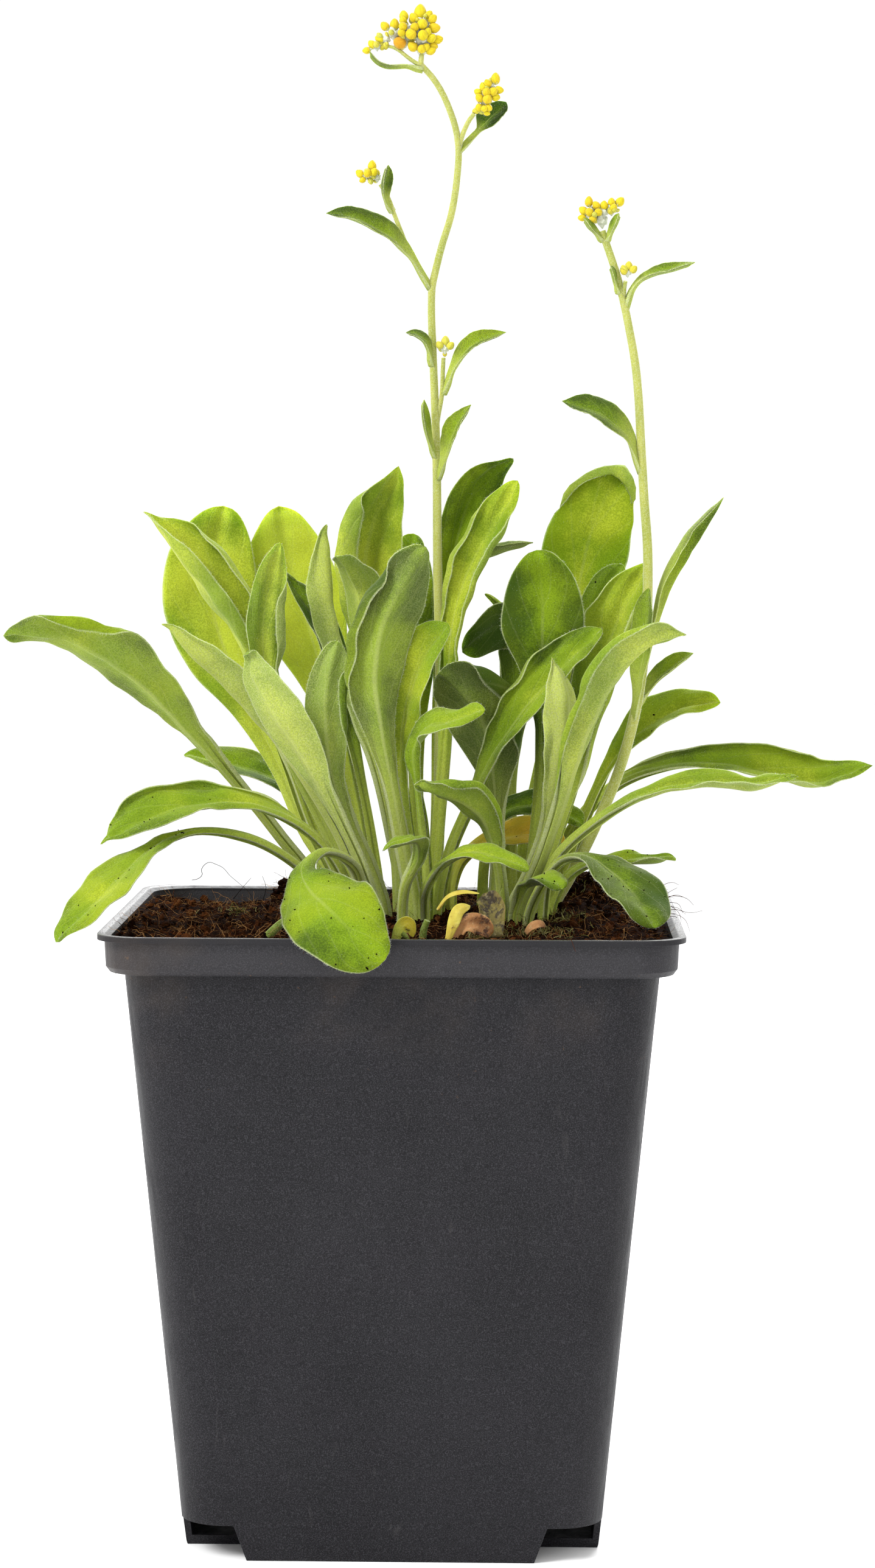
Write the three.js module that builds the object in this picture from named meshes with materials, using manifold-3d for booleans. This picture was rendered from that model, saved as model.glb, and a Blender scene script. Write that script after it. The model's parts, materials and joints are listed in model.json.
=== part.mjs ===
// A yellow-budded felted plant in a square nursery pot.
// Millimetres, +Z up. The origin is on the ground at the middle of the pot, +X to the right and -Y to the
// front. Leaves and flowering stems stand in holes in the soil, which fills the pot.

import * as THREE from 'three';
import { mergeVertices } from 'three/addons/utils/BufferGeometryUtils.js';
import Module from 'manifold-3d';

const wasm = await Module();
wasm.setup();

// Pot
const LIP_SIZE = 90; // across the flat rim, the size such a pot is sold by
const POT_HEIGHT = 98.6;
const LIP_THICK = 0.9;
const COLLAR_SIZE = 88;
const COLLAR_HEIGHT = 6;
const BODY_TOP_SIZE = 82.4;
const BODY_FOOT_SIZE = 64.8;
const CORNER_RADIUS = 7.5;
const WALL = 1;
const FLOOR = 1.6;
const NOTCH_SIDE = 9.6; // how far a drain notch runs along each wall from the corner
const NOTCH_HEIGHT = 5.6;
const NOTCH_SLANT = 1.6;
const CORNER_STEPS = 5;

// Soil
const SOIL_LEVEL = 97.2;
const MOUNDS = [
  { x: 35, y: 22, rise: 4.6, spread: 9 },
  { x: 24, y: 6, rise: 1.6, spread: 13 },
  { x: -18, y: 27, rise: 4, spread: 3.6 },
  { x: -3, y: 4, rise: 1.3, spread: 14 },
];
const CLEARANCE = 0.3; // between any two pieces that touch on the real plant
const ROOT_DEPTH = 3.6; // how deep a stalk stands in the soil
const STALK_CAP = 0.3; // the blunt end under each stalk
const HOLE_SIDES = 5;
const HOLE_FLARE = 0.9;

// Leaves
const STALK_THICK = 1.5;
const BLADE_THICK = 0.9;
const RIB_DEPTH = 0.3; // how far the rib stands out under the blade
const BUD_SIDES = 5;

// Leaf table. root is where the stalk meets the soil, path runs from there to the tip, and face is the way
// that the upper side looks at the middle of the blade. width is the blade's and stalk the stalk's, flat.
// fold lifts both halves from the rib in degrees, wave bends the margin, tip is 0.5 round to 1 pointed.
const LEAVES = [
  { name: 'leaf_front_left_long', root: [-11.5, 1], width: 12.5, stalk: 2.8, face: [0.35, 0.7, 0.6],
    path: [[-15.5, -0.5, 105], [-21, -2, 113], [-30, -7, 124.5], [-37.5, -12, 133], [-45.5, -17, 140],
      [-54, -21, 144], [-61, -24, 143.5]], fold: 14, tip: 0.7, wave: 0.7 },
  { name: 'leaf_left_channelled', root: [-9, 9], width: 11, stalk: 3, face: [0.6, -0.6, 0.5],
    path: [[-14, 11, 108.5], [-18, 13, 120], [-22.5, 14, 131], [-26, 15, 141], [-31.5, 16, 148.5],
      [-37, 17, 156.5], [-43, 18, 163]], fold: 42, tip: 0.9 },
  { name: 'leaf_back_left_broad', root: [-8, 14], width: 17, stalk: 3.2, face: [0.1, -1, 0.3],
    path: [[-14.5, 19, 107.5], [-20.5, 24, 119.5], [-27, 28, 132.5], [-31.5, 30, 142.5], [-33, 31, 151],
      [-32, 30, 158], [-30.5, 28, 164]], fold: 12, wave: 0.6 },
  { name: 'leaf_left_small', root: [-6.5, 7], width: 6, stalk: 2, face: [0.3, -0.9, 0.3],
    path: [[-11, 8, 108.5], [-16, 8, 118.5], [-20.5, 7, 129.5], [-22.5, 6, 140.5], [-22, 5, 148.5],
      [-21, 4, 154], [-19.5, 3, 158]], fold: 16, from: 0.55 },
  { name: 'leaf_back_yellow', root: [-5, 15], width: 14.5, stalk: 3, face: [0, -1, 0.3],
    path: [[-7, 20, 109.5], [-11, 26, 124.5], [-14.5, 30, 137.5], [-17.5, 33, 147.5], [-20, 34, 156],
      [-21.5, 33, 164]], fold: 10, wave: 0.5 },
  { name: 'leaf_back_dark_strip', root: [-3.5, 11], width: 6, stalk: 2.2, face: [0.4, -0.8, 0.5],
    path: [[-5.5, 15, 111], [-9, 19, 127], [-12.5, 21, 140.5], [-16.5, 22, 148], [-20.5, 22, 153.5]],
    fold: 35, tip: 0.8 },
  { name: 'leaf_pale_upright', root: [1, 3], width: 7, stalk: 3, face: [-0.8, 0.5, 0.2],
    path: [[-0.5, 6, 107.5], [-3.5, 8, 120.5], [-7, 9, 131.5], [-10, 10, 140.5], [-12, 11, 148.5],
      [-12.5, 12, 155], [-12.5, 13, 161]], fold: 30 },
  { name: 'leaf_front_left_spoon', root: [-3.5, -8], width: 9, stalk: 2.6, face: [0.3, 0.8, 0.5],
    path: [[-6, -11, 107.5], [-11, -13, 118], [-15.5, -14, 126], [-20, -14, 133], [-22.5, -13, 137.5],
      [-23, -12, 140.5]], fold: 10, wave: 0.5 },
  { name: 'leaf_front_spoon', root: [-2, -5], width: 7, stalk: 2.4, face: [0.1, 0.9, 0.4],
    path: [[-4.5, -6, 106.5], [-8, -8, 114.5], [-10.5, -9, 122], [-11.5, -10, 130], [-11, -10, 137],
      [-9.5, -9, 142.5]], fold: 12 },
  { name: 'leaf_left_narrow', root: [-5.5, -2], width: 7.5, stalk: 2.4, face: [0.6, 0.3, 0.75],
    path: [[-8, -3, 107], [-12, -3, 115], [-17, -3, 123], [-23, -3, 130.5], [-30, -4, 138],
      [-38, -5, 145]], fold: 45, tip: 0.8 },
  { name: 'leaf_top_centre', root: [1.5, 8], width: 12.5, stalk: 2.6, face: [0.2, -1, 0.2],
    path: [[0.5, 10, 109.5], [-1.5, 12, 124], [-4, 14, 139], [-6, 15, 151], [-5.5, 15, 159],
      [-3, 13, 165.5], [-0.5, 9, 170.5]], fold: 34, tip: 0.8, wave: 0.5 },
  { name: 'leaf_centre_folded', root: [0, 0], width: 9, stalk: 2.6, face: [0.3, 0.6, 0.8],
    path: [[-0.5, 2, 108], [-2, 3, 120.5], [-4, 4, 134.5], [-5.5, 4, 144.5], [-7, 2, 152], [-10, -3, 156]],
    fold: 20 },
  { name: 'leaf_big_centre', root: [3, -9], width: 12.5, stalk: 3, face: [-0.1, 0.9, 0.4],
    path: [[1.5, -10, 107], [-0.5, -12, 118], [-2.5, -14, 128.5], [-3.5, -15, 138], [-2, -16, 146],
      [1, -16, 152], [4.5, -14, 157.5]], fold: 22, wave: 0.6 },
  { name: 'leaf_centre_bright', root: [4, -6], width: 8, stalk: 2.2, face: [-0.5, -0.8, 0.3],
    path: [[3, -7, 105], [1.5, -8, 114.5], [0.5, -9, 125.5], [2, -11, 135], [4.5, -12, 141.5],
      [8, -12, 145.5]], fold: 14 },
  { name: 'leaf_back_centre', root: [3, 12], width: 10, stalk: 2.6, face: [0, -1, 0.3],
    path: [[2.5, 16, 111], [2, 20, 127], [1, 24, 141], [0.5, 26, 151], [1.5, 27, 159.5]], fold: 12,
    wave: 0.5 },
  { name: 'leaf_beside_stem_dark', root: [5.5, 11], width: 8, stalk: 2.6, face: [0.3, -0.9, 0.3],
    path: [[6, 13, 109], [6, 17, 125], [6.3, 20, 139], [7.2, 21.5, 150], [8.8, 22, 158.4], [10.7, 21.5, 164.8],
      [14, 19, 169.4], [18.2, 16, 171.9]], fold: 24, tip: 0.75, from: 0.5, widest: 0.84 },
  { name: 'leaf_beside_stem_light', root: [5.5, 2], width: 6.6, stalk: 2.4, face: [-0.3, -0.9, 0.3],
    path: [[6, 5, 107.5], [7, 7, 119.5], [7.8, 8, 132.5], [8.2, 8.5, 142.5], [9.6, 9, 150], [12.6, 9, 156.8],
      [16, 8, 162.8], [18.9, 6.5, 168.2]], fold: 22, tip: 0.5, from: 0.58, widest: 0.84 },
  { name: 'leaf_round_spoon', root: [21, 2], width: 13.5, stalk: 2.4, face: [0, -1, 0.2],
    path: [[22, 2, 108], [23, 2, 120], [23, 2, 132], [23, 2, 140.5], [23, 2, 149.5], [22, 0, 157]],
    fold: 8, from: 0.58, widest: 0.8 },
  { name: 'leaf_tall_back_broad', root: [19.5, 16.5], width: 14.8, stalk: 3, face: [-0.1, -1, 0.1],
    path: [[21, 20.5, 109], [23.5, 25.5, 121], [26.5, 28, 135], [28.8, 30, 147], [30.4, 31, 156],
      [32.6, 30.5, 163.3], [36.8, 29, 170]], fold: 10, wave: 0.5, from: 0.58, widest: 0.8 },
  { name: 'leaf_back_right', root: [22.5, 18.5], width: 8, stalk: 2.4, face: [-0.3, -0.9, 0.3],
    path: [[25.5, 20, 109], [28.5, 21.5, 122], [30, 22.5, 135], [32, 23, 144], [34, 23, 150.5],
      [36.5, 21, 154.5]], fold: 20 },
  { name: 'leaf_right_lance', root: [21.5, -2], width: 9, stalk: 2.4, face: [-0.4, -0.9, 0.2],
    path: [[24, -1, 106.5], [27.5, 1, 117], [30, 3, 127], [32, 4, 135.5], [34.5, 5, 143.5],
      [37.5, 5, 150.5], [40, 4, 155]], fold: 26, tip: 0.7 },
  { name: 'leaf_front_right_arch', root: [19.5, -6], width: 9, stalk: 2.6, face: [-0.5, 0.55, 0.7],
    path: [[22.5, -8, 106], [25.5, -10, 115.5], [28.5, -12, 125], [31.5, -14, 132.5], [35.5, -16, 139],
      [40, -17, 143], [45.5, -17, 144]], fold: 24, tip: 0.7, from: 0.32 },
  { name: 'leaf_pale_triangle', root: [18, -2.5], width: 6.5, stalk: 2.2, face: [-0.5, 0.8, 0.2],
    path: [[22, -5, 107.5], [24.5, -6.5, 116.5], [26, -8, 125.5], [26.5, -8, 131], [26, -8, 135.5],
      [24.5, -7, 140]], fold: 20, tip: 0.9 },
  { name: 'leaf_crossing', root: [6.5, -2.5], width: 8, stalk: 2.4, face: [-0.5, -0.7, 0.5],
    path: [[8.5, -3, 108.5], [12, -4, 117], [16, -4.5, 125.5], [21, -4, 132.5],
      [26.5, -2.5, 138.5], [32.5, -0.5, 144.5]], fold: 24 },
  { name: 'leaf_right_mid', root: [25.5, 11], width: 9, stalk: 2.4, face: [-0.4, -0.6, 0.7],
    path: [[28.5, 13.5, 107.5], [32, 14.5, 116.5], [36, 15, 123.5], [41.5, 15, 128.5],
      [47, 14.5, 131], [52.5, 13.5, 132]], fold: 26, tip: 0.7, from: 0.5 },
  { name: 'leaf_right_long', root: [24.5, 14.5], width: 8.5, stalk: 2.4, face: [-0.1, -0.5, 0.85],
    path: [[27.5, 16.5, 109], [33, 18, 116], [41, 19, 120.5], [50.5, 19.5, 121.5],
      [59.5, 19.5, 120.5], [68.5, 19, 118.5], [78, 18, 121.5]], fold: 26, tip: 0.9 },
  { name: 'leaf_right_low', root: [23.5, -6.5], width: 5, stalk: 2.2, face: [-0.2, -0.4, 0.9],
    path: [[24.5, -9, 106], [28.5, -10, 111], [34.5, -11, 116], [41.5, -12, 119], [49, -12, 120.5],
      [56.5, -12, 120], [63.5, -12, 121.5]], fold: 30, tip: 0.8 },
  { name: 'leaf_front_right_droop', root: [21, -10], width: 10.5, stalk: 2.2, face: [0.3, -0.6, 0.7],
    path: [[23.5, -14, 104.5], [27.3, -18, 109], [30.9, -22, 109], [34.6, -27, 106.8], [37.4, -31.5, 104],
      [39.2, -35, 101.6], [40.3, -37.5, 99.8]], fold: 10, wave: 0.5 },
  { name: 'leaf_right_small', root: [24.5, -1.5], width: 4, stalk: 1.8, face: [0, -0.3, 0.95],
    path: [[27, -1, 104], [31, 0.5, 106.5], [38, 2, 106.8], [45, 4, 107]], fold: 20, short: true },
  { name: 'leaf_right_cup', root: [18.5, -12.5], width: 6.5, stalk: 1.8, face: [0.4, -0.6, 0.7],
    path: [[19.5, -15.5, 103], [21.7, -18.3, 105], [24.4, -21.5, 105.4], [26.2, -23.6, 104.4]], fold: 10, short: true },
  { name: 'leaf_front_arch', root: [4.5, -12], width: 4.5, stalk: 2, face: [0, -0.5, 0.85],
    path: [[4.5, -16, 102.5], [7, -20, 107.5], [11.5, -23, 110], [16.5, -25, 109.2], [21, -26, 107.6]],
    fold: 14, short: true },
  { name: 'leaf_front_twisted', root: [17, -8], width: 9, stalk: 2.2, face: [0.3, 0.6, 0.75],
    path: [[16.5, -12, 105.5], [15.5, -14, 111], [14, -16, 115], [10.5, -18, 118], [6.5, -20, 119.5],
      [3, -21, 120.5]], fold: 16, tip: 0.8, wave: 0.6 },
  { name: 'leaf_small_forward', root: [1, -15.5], width: 3.6, stalk: 1.8, face: [0.2, 0, 1],
    path: [[1.5, -18, 104], [4, -21, 110], [3, -26, 112.5], [-1.5, -31, 111]], fold: 12, short: true },
  { name: 'leaf_small_light', root: [5, -9], width: 6, stalk: 1.8, face: [-0.2, -0.7, 0.7],
    path: [[5, -11, 105], [4, -13, 116], [3, -14.5, 123.8], [3.2, -16, 128.4], [7.8, -19, 130],
      [14, -22, 132.3]], fold: 14, from: 0.55 },
  { name: 'leaf_dark_folded', root: [15.5, 2.5], width: 13, stalk: 2.6, face: [0.2, 0.9, 0.3],
    path: [[16, 3, 108], [15.5, 3, 119], [14.6, 2, 126], [12.5, 0.5, 131.5], [9.5, -1, 135.2],
      [6.4, -3, 137.3]], fold: 10, wave: 0.5 },
  { name: 'leaf_dark_arch', root: [18, 13], width: 10, stalk: 2.4, face: [-0.1, -0.8, 0.6],
    path: [[18, 16.5, 110], [18, 19, 123], [19, 20, 134], [20.5, 19, 141], [18.5, 16.5, 145],
      [14.5, 14, 143.5], [10, 13.5, 140]], fold: 12 },
  { name: 'leaf_back_small', root: [16, 17.5], width: 4, stalk: 2, face: [0, -0.4, 0.9],
    path: [[16.5, 21, 111.5], [17.5, 24, 127.5], [18, 25, 141], [17, 24.5, 147], [13.5, 23, 149.5]], fold: 20,
    tip: 0.8, short: true },
  { name: 'leaf_left_arch', root: [-7, -7], width: 9, stalk: 2.2, face: [0.1, -0.45, 0.9],
    path: [[-9.5, -9, 106.5], [-13.5, -11, 111.5], [-19, -13, 115.5], [-25.5, -15, 117], [-33, -18, 116.5],
      [-39.5, -21, 114.5], [-46, -23, 111]], fold: 16, tip: 0.9, wave: 0.5 },
  { name: 'leaf_left_hanging', root: [-9.5, -6], width: 10, stalk: 2, face: [-0.5, -0.6, 0.6],
    path: [[-13, -9, 103.5], [-17.5, -12, 108], [-24, -15, 111.5], [-32, -18, 112.5], [-37, -21, 111],
      [-42.5, -26, 106], [-47, -30, 101.5], [-52, -32, 96.5]], fold: 10, from: 0.55 },
  { name: 'leaf_front_hanging', root: [-5, -12], width: 14.5, stalk: 2.2, face: [0, -0.9, 0.4],
    path: [[-6, -16, 106], [-9, -21, 110], [-12.5, -27, 109.5], [-14, -33, 107.5], [-12, -40, 105],
      [-9, -45.5, 103], [-6, -48.5, 100.4], [-3.2, -49.9, 97.8], [-0.5, -50.4, 96.1]], fold: -8, from: 0.45,
    widest: 0.78 },
  { name: 'leaf_yellowing', root: [8.5, 5], width: 7, stalk: 2.2, face: [-0.1, -0.6, 0.75],
    path: [[9, 6, 104.5], [12, 6.5, 108], [17, 6.5, 110], [23, 6.5, 110], [26.5, 6.5, 107]],
    fold: 24, yellow: true },
  { name: 'leaf_dark_oblong', root: [13.5, 10], width: 6, stalk: 2, face: [0, -0.6, 0.8],
    path: [[14, 11, 106.5], [16, 11.5, 113], [21, 11.5, 115], [26, 11.5, 114], [30, 11, 112]],
    fold: 14, short: true },
  { name: 'leaf_low_back_left', root: [-7, 20], width: 8, stalk: 2.4, face: [0.1, -0.5, 0.85],
    path: [[-10.5, 26, 108], [-17, 32, 114.5], [-24.5, 36, 118.5], [-32, 38, 120.5], [-38, 38, 121.5]],
    fold: 14 },
  { name: 'leaf_young', root: [-13, 22], width: 3.4, stalk: 1.6, face: [0.3, -0.5, 0.8],
    path: [[-14, 25, 106.5], [-14.5, 26, 111.5], [-17.5, 26.5, 115]], fold: 20, short: true },
];

// Flowering stems: the main axis, side branches from it, and the leaves that it carries. Every branch and
// leaf path starts on the axis that bears it.
const STEMS = [
  { name: 'flower_stem_centre', root: [6, 6.5], radius: [0.85, 0.5],
    path: [[6.3, 9, 117], [6.3, 12, 137], [5.8, 14, 154.5], [5.6, 13.8, 170.5], [5.2, 13, 182.8],
      [4.9, 12, 189.9], [4.7, 10.6, 198.5], [5.4, 10, 202.4], [6.5, 9, 206.6], [7.8, 8, 210.7],
      [8.9, 7, 217.6], [9.1, 6, 221.4], [8.7, 5, 224.4], [7.7, 4.4, 227.5], [6.5, 4, 230.2], [5, 3, 232.5],
      [3, 2, 234.5]],
    branches: [
      { radius: [0.4, 0.32], path: [[4.7, 10.5, 199], [1.4, 9.2, 204.5], [-1.4, 7.8, 211.4], [-3.3, 7, 215.2]] },
      { radius: [0.4, 0.35], path: [[9.1, 6, 221], [10, 4.8, 224.2], [11.4, 4, 226.4]] },
      { radius: [0.5, 0.35], path: [[5.6, 13.8, 170], [6.4, 12.6, 180.6], [6.7, 11, 187.6]] },
      { radius: [0.35, 0.3], path: [[3.9, 2.4, 233.6], [2.3, 2, 234.9], [0.9, 1.6, 235.8]] },
    ],
    leaves: [
      { width: 5, face: [-0.2, -0.6, 0.8], fold: 25, tip: 0.8,
        path: [[4.7, 10.4, 199.4], [2.7, 8.6, 202.5], [0, 7, 205.7], [-4.1, 5.6, 208.8], [-7.9, 4.8, 210.5],
          [-12.2, 4.4, 211.1]] },
      { width: 3, face: [0.8, -0.5, 0.2], fold: 25,
        path: [[-1.5, 7.8, 211.6], [-2.5, 6.2, 213.5], [-2.8, 5.2, 215.6], [-2.2, 4.8, 218.9]] },
      { width: 5, face: [-0.3, -0.8, 0.5], fold: 15,
        path: [[9.1, 6, 221.2], [10.7, 6.4, 222.9], [13.6, 7.4, 226], [16.7, 8, 229.3]] },
      { width: 4, face: [-0.4, -0.6, 0.6], fold: 30, tip: 0.9,
        path: [[6.5, 12.3, 182.4], [8.5, 10.6, 186.6], [12.1, 9.4, 190.5], [16.9, 9, 192.3]] },
      { width: 3, face: [0.5, -0.5, 0.7], fold: 25, tip: 0.9,
        path: [[5, 12.3, 187], [4.2, 10.6, 190], [2.2, 9.4, 191.9], [0.6, 9, 192.2]] },
      { width: 4.6, face: [-0.7, -0.6, 0.4], fold: 25, tip: 0.8,
        path: [[5.7, 13.6, 168.5], [7.2, 11.6, 172.5], [8.9, 10.6, 177], [11.2, 10.4, 180.6]] },
      { width: 2.6, face: [0.8, -0.5, 0.3], fold: 25, tip: 0.8,
        path: [[5.6, 13.6, 172], [4.2, 11.8, 175.5], [3.6, 11, 178.4], [3.6, 11, 181.4]] },
      { width: 4.6, face: [-0.3, 0, 0.95], fold: 25, tip: 0.8,
        path: [[6, 14, 150], [9, 14.5, 153.4], [14, 14.5, 156.2], [21.5, 13, 158.2]] },
      { width: 2.6, face: [0.3, 0, 0.9], fold: 20, tip: 0.8,
        path: [[3.4, 2.2, 234], [0.8, 1.7, 234.2], [-2.7, 1, 234.3], [-5.1, 1, 236.6]] },
    ] },
  { name: 'flower_stem_right', root: [25, 3], radius: [0.95, 0.6],
    path: [[27.5, 3, 103.5], [31.5, 3.5, 111.5], [35, 4, 119.5], [38, 3, 130], [39.5, 2.5, 140],
      [40, 1.5, 150.5], [39.6, 0.8, 161.2], [38.9, 0, 169.1], [38.2, -1.6, 181.3], [37.1, -2.6, 189.7],
      [35.9, -3.3, 195.4], [34.6, -3.8, 200.5], [33.4, -4, 204.1], [32.3, -4, 207]],
    branches: [
      { radius: [0.4, 0.32], path: [[35.7, -3.4, 196.4], [35.7, -4, 198], [35.8, -4.4, 199.2]] },
    ],
    leaves: [
      { width: 4.4, face: [0.8, -0.3, 0.2], fold: 40, tip: 0.9,
        path: [[39.3, 2.3, 137], [40.8, 3, 144], [42.2, 3.6, 151], [46, 4.2, 158.5], [52.3, 4.5, 165.6]] },
      { width: 5, face: [-0.7, -0.7, 0.2], fold: 20,
        path: [[37.7, 3, 129], [38.4, 0.6, 134], [39.2, -0.8, 141], [40, -1.4, 151]] },
      { width: 4.5, face: [-0.3, -0.5, 0.8], fold: 28, tip: 0.8,
        path: [[38.2, 3.2, 131.6], [41, 4.8, 135.2], [44, 5, 138], [47.6, 5, 140.4]] },
      { width: 6, face: [0.4, -0.7, 0.6], fold: 26, tip: 0.9,
        path: [[38.9, 0, 169.4], [36.6, -1.6, 174.6], [32.6, -3.2, 178.3], [25.9, -4, 180.8]] },
      { width: 3, face: [-0.3, -0.4, 0.9], fold: 26, tip: 0.9,
        path: [[35.8, -3.3, 195.6], [37.6, -4.3, 199.6], [42.4, -5, 201.5], [46.9, -5, 202.8]] },
      { width: 2.2, face: [0.7, -0.4, 0.5], fold: 20,
        path: [[35.1, -3.6, 198], [34.1, -4.9, 200.4], [33.6, -5.4, 202.2]] },
      { width: 2.6, face: [0.5, -0.6, 0.6], fold: 30,
        path: [[32.4, -4, 206.4], [31, -5, 207.5], [30, -5.9, 208.3], [29.2, -6.4, 209.6]] },
      { width: 2.4, face: [-0.6, -0.5, 0.5], fold: 30,
        path: [[32.6, -4, 206.2], [33.6, -4.9, 207.6], [34.3, -5.6, 208.9], [34.7, -6, 210.4]] },
    ] },
];

// Bud heads. at is where the head sits on its branch, and each bud is [right, front-to-back, up, radius]
// from there. A bud that stands well forward of the middle has a twin behind it.
const NECK = [0, 0, 0.4, 0.7]; // a short neck under each head, just clear of the branch that bears it
const TWIN_FROM = -0.9;
const HEADS = [
  { name: 'buds_top', at: [2.9, 2, 235.5], pale: false,
    core: [[0.2, 0, 1.3, 1.2], [0.5, 0, 3, 2.1], [0.2, 0, 5.2, 2], [-2.3, 0, 4.3, 2], [-2.4, 0, 2.6, 1.1],
      [-4.2, 0, 4, 1.4], [-5.5, 0, 3.2, 1.2], [-6.9, 0, 2, 1]],
    buds: [[0, 0, 7.4, 1.25], [-2.6, -0.3, 6.5, 0.9], [-0.9, -0.4, 6.2, 0.9], [1.9, -0.4, 6.1, 0.9],
      [-4.1, 0, 5.2, 0.9], [2.2, -0.5, 4.7, 0.9], [0.4, -1.6, 5.2, 0.9], [-2.7, -1.7, 4.6, 0.8],
      [-5.6, 0, 4.9, 0.8], [-1.4, -1.8, 3.6, 0.9], [0.5, -1.9, 3.3, 0.9], [2.5, -0.5, 2.9, 0.9],
      [-6.3, 0, 3, 0.8], [-7.6, 0, 2, 0.8], [-8.3, 0, 1.4, 0.7], [-3.2, -0.9, 2.3, 1.05],
      [-1.1, -0.6, 1.7, 0.9], [1.7, -0.6, 1.3, 0.9], [0.5, -1, 1.4, 0.8]] },
  { name: 'buds_upper_right', at: [11.7, 4, 227.3], pale: false,
    core: [[0.7, 0, 0.8, 0.9], [1.5, 0, 1.7, 1.1], [1.9, 0, 3, 1.3], [2.5, 0, 4.2, 1]],
    buds: [[3.3, 0, 5.2, 0.85], [1.4, -0.3, 4, 0.8], [3.7, 0, 3.5, 0.75], [0.8, -0.6, 2.4, 0.7],
      [2, -1, 2, 0.85], [3.1, -0.4, 2.4, 0.7], [0.7, -0.5, 0.8, 0.7], [1.9, -0.6, 0.7, 0.7]] },
  { name: 'buds_left', at: [-3.6, 7, 216.1], pale: false,
    core: [[-0.5, 0, 0.9, 0.9], [-1.6, 0, 1.3, 1.1], [-2.3, 0, 1.3, 0.9]],
    buds: [[-1.3, -0.2, 2.7, 0.8], [-3.1, 0, 1.6, 0.8], [-2, -0.9, 1.6, 0.8], [-1, -0.6, 1.8, 0.8],
      [-2.7, -0.3, 0.7, 0.6]] },
  { name: 'buds_small_pale', at: [6.7, 11, 188.5], pale: true, core: [[0.2, 0, 1.2, 1.1]],
    buds: [[0.3, 0, 2.3, 0.8], [-0.6, -0.5, 1.7, 0.7], [1.1, -0.5, 1.6, 0.7]] },
  { name: 'buds_right', at: [32.1, -4, 207.9], pale: false,
    core: [[0, 0, 1.4, 1.4], [-1.5, 0, 2.4, 1.3], [0.2, 0, 2.9, 1.3], [1.5, 0, 3.2, 1.2]],
    buds: [[-2.1, 0, 4.2, 0.8], [0.3, -0.3, 3.9, 0.8], [2.7, 0, 4.3, 0.8], [1.8, -0.8, 3.5, 0.75],
      [-0.9, -0.4, 3.7, 0.7], [-2.8, 0, 3.1, 0.75], [-1.9, -1, 2.8, 0.75], [-0.6, -1.1, 2.7, 0.7],
      [-2.8, -0.2, 2.1, 0.7], [-1.4, -0.8, 1.6, 0.7]] },
  { name: 'buds_right_small', at: [35.9, -4.5, 200.1], pale: true, core: [[0.3, 0, 1.1, 1]],
    buds: [[0.5, 0, 2, 0.7], [-0.2, -0.4, 1.5, 0.7], [1.2, -0.4, 1.5, 0.7]] },
];

// Dead leaves that lie on the soil: two ends, the width and the rise of the middle.
const LITTER = [
  { name: 'dead_leaf_yellow', from: [9.5, -36], to: [12.5, -28], width: 3, rise: 1.6 },
  { name: 'dead_leaf_olive', from: [17, -33], to: [16, -26], width: 4, rise: 2 },
];

const COLOURS = {
  pot: { color: 0x35363a, roughness: 0.55 },
  soil: { color: 0x3a2418, roughness: 0.95 },
  leaf: { color: 0x7f9f3c, roughness: 0.8 },
  yellowing: { color: 0xb9b03a, roughness: 0.8 },
  stem: { color: 0xb4c45a, roughness: 0.8 },
  buds: { color: 0xf2d81e, roughness: 0.6 },
  paleBuds: { color: 0xd3d868, roughness: 0.7 },
  dead: { color: 0xb99a4a, roughness: 0.9 },
};

function vec(point) {
  return new THREE.Vector3(...point);
}

// Closed skin through rings of equal count, from a start point to an end point. With mirrored set, the
// second half of each quad row is split the other way, so both faces of a blade are split alike.
function skin(rings, start, end, mirrored = false) {
  const count = rings[0].length;
  const points = [start, ...rings.flat(), end];
  const last = points.length - 1;
  const at = (ring, j) => 1 + ring * count + (j % count);
  const index = [];
  for (let j = 0; j < count; j++) {
    index.push(0, at(0, j + 1), at(0, j));
    index.push(last, at(rings.length - 1, j), at(rings.length - 1, j + 1));
  }
  for (let ring = 0; ring < rings.length - 1; ring++) {
    for (let j = 0; j < count; j++) {
      const [a, b] = [at(ring, j), at(ring, j + 1)];
      const [c, d] = [at(ring + 1, j), at(ring + 1, j + 1)];
      if (mirrored && j >= count / 2) index.push(a, b, c, b, d, c);
      else index.push(a, d, c, a, b, d);
    }
  }
  const geometry = new THREE.BufferGeometry();
  geometry.setAttribute('position', new THREE.Float32BufferAttribute(points.flatMap((p) => [p.x, p.y, p.z]), 3));
  geometry.setIndex(index);
  return geometry;
}

function toManifold(geometry) {
  const merged = mergeVertices(geometry, 1e-5);
  return new wasm.Manifold(new wasm.Mesh({
    numProp: 3,
    vertProperties: new Float32Array(merged.getAttribute('position').array),
    triVerts: new Uint32Array(merged.getIndex().array),
  }));
}

function fromManifold(solid) {
  const mesh = solid.getMesh();
  const geometry = new THREE.BufferGeometry();
  geometry.setAttribute('position', new THREE.Float32BufferAttribute(mesh.vertProperties, 3));
  geometry.setIndex(new THREE.Uint32BufferAttribute(mesh.triVerts, 1));
  return geometry;
}

function named(name, geometry, finish) {
  const material = new THREE.MeshStandardMaterial({ metalness: 0, ...COLOURS[finish] });
  const mesh = new THREE.Mesh(geometry, material);
  mesh.name = name;
  return mesh;
}

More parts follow.
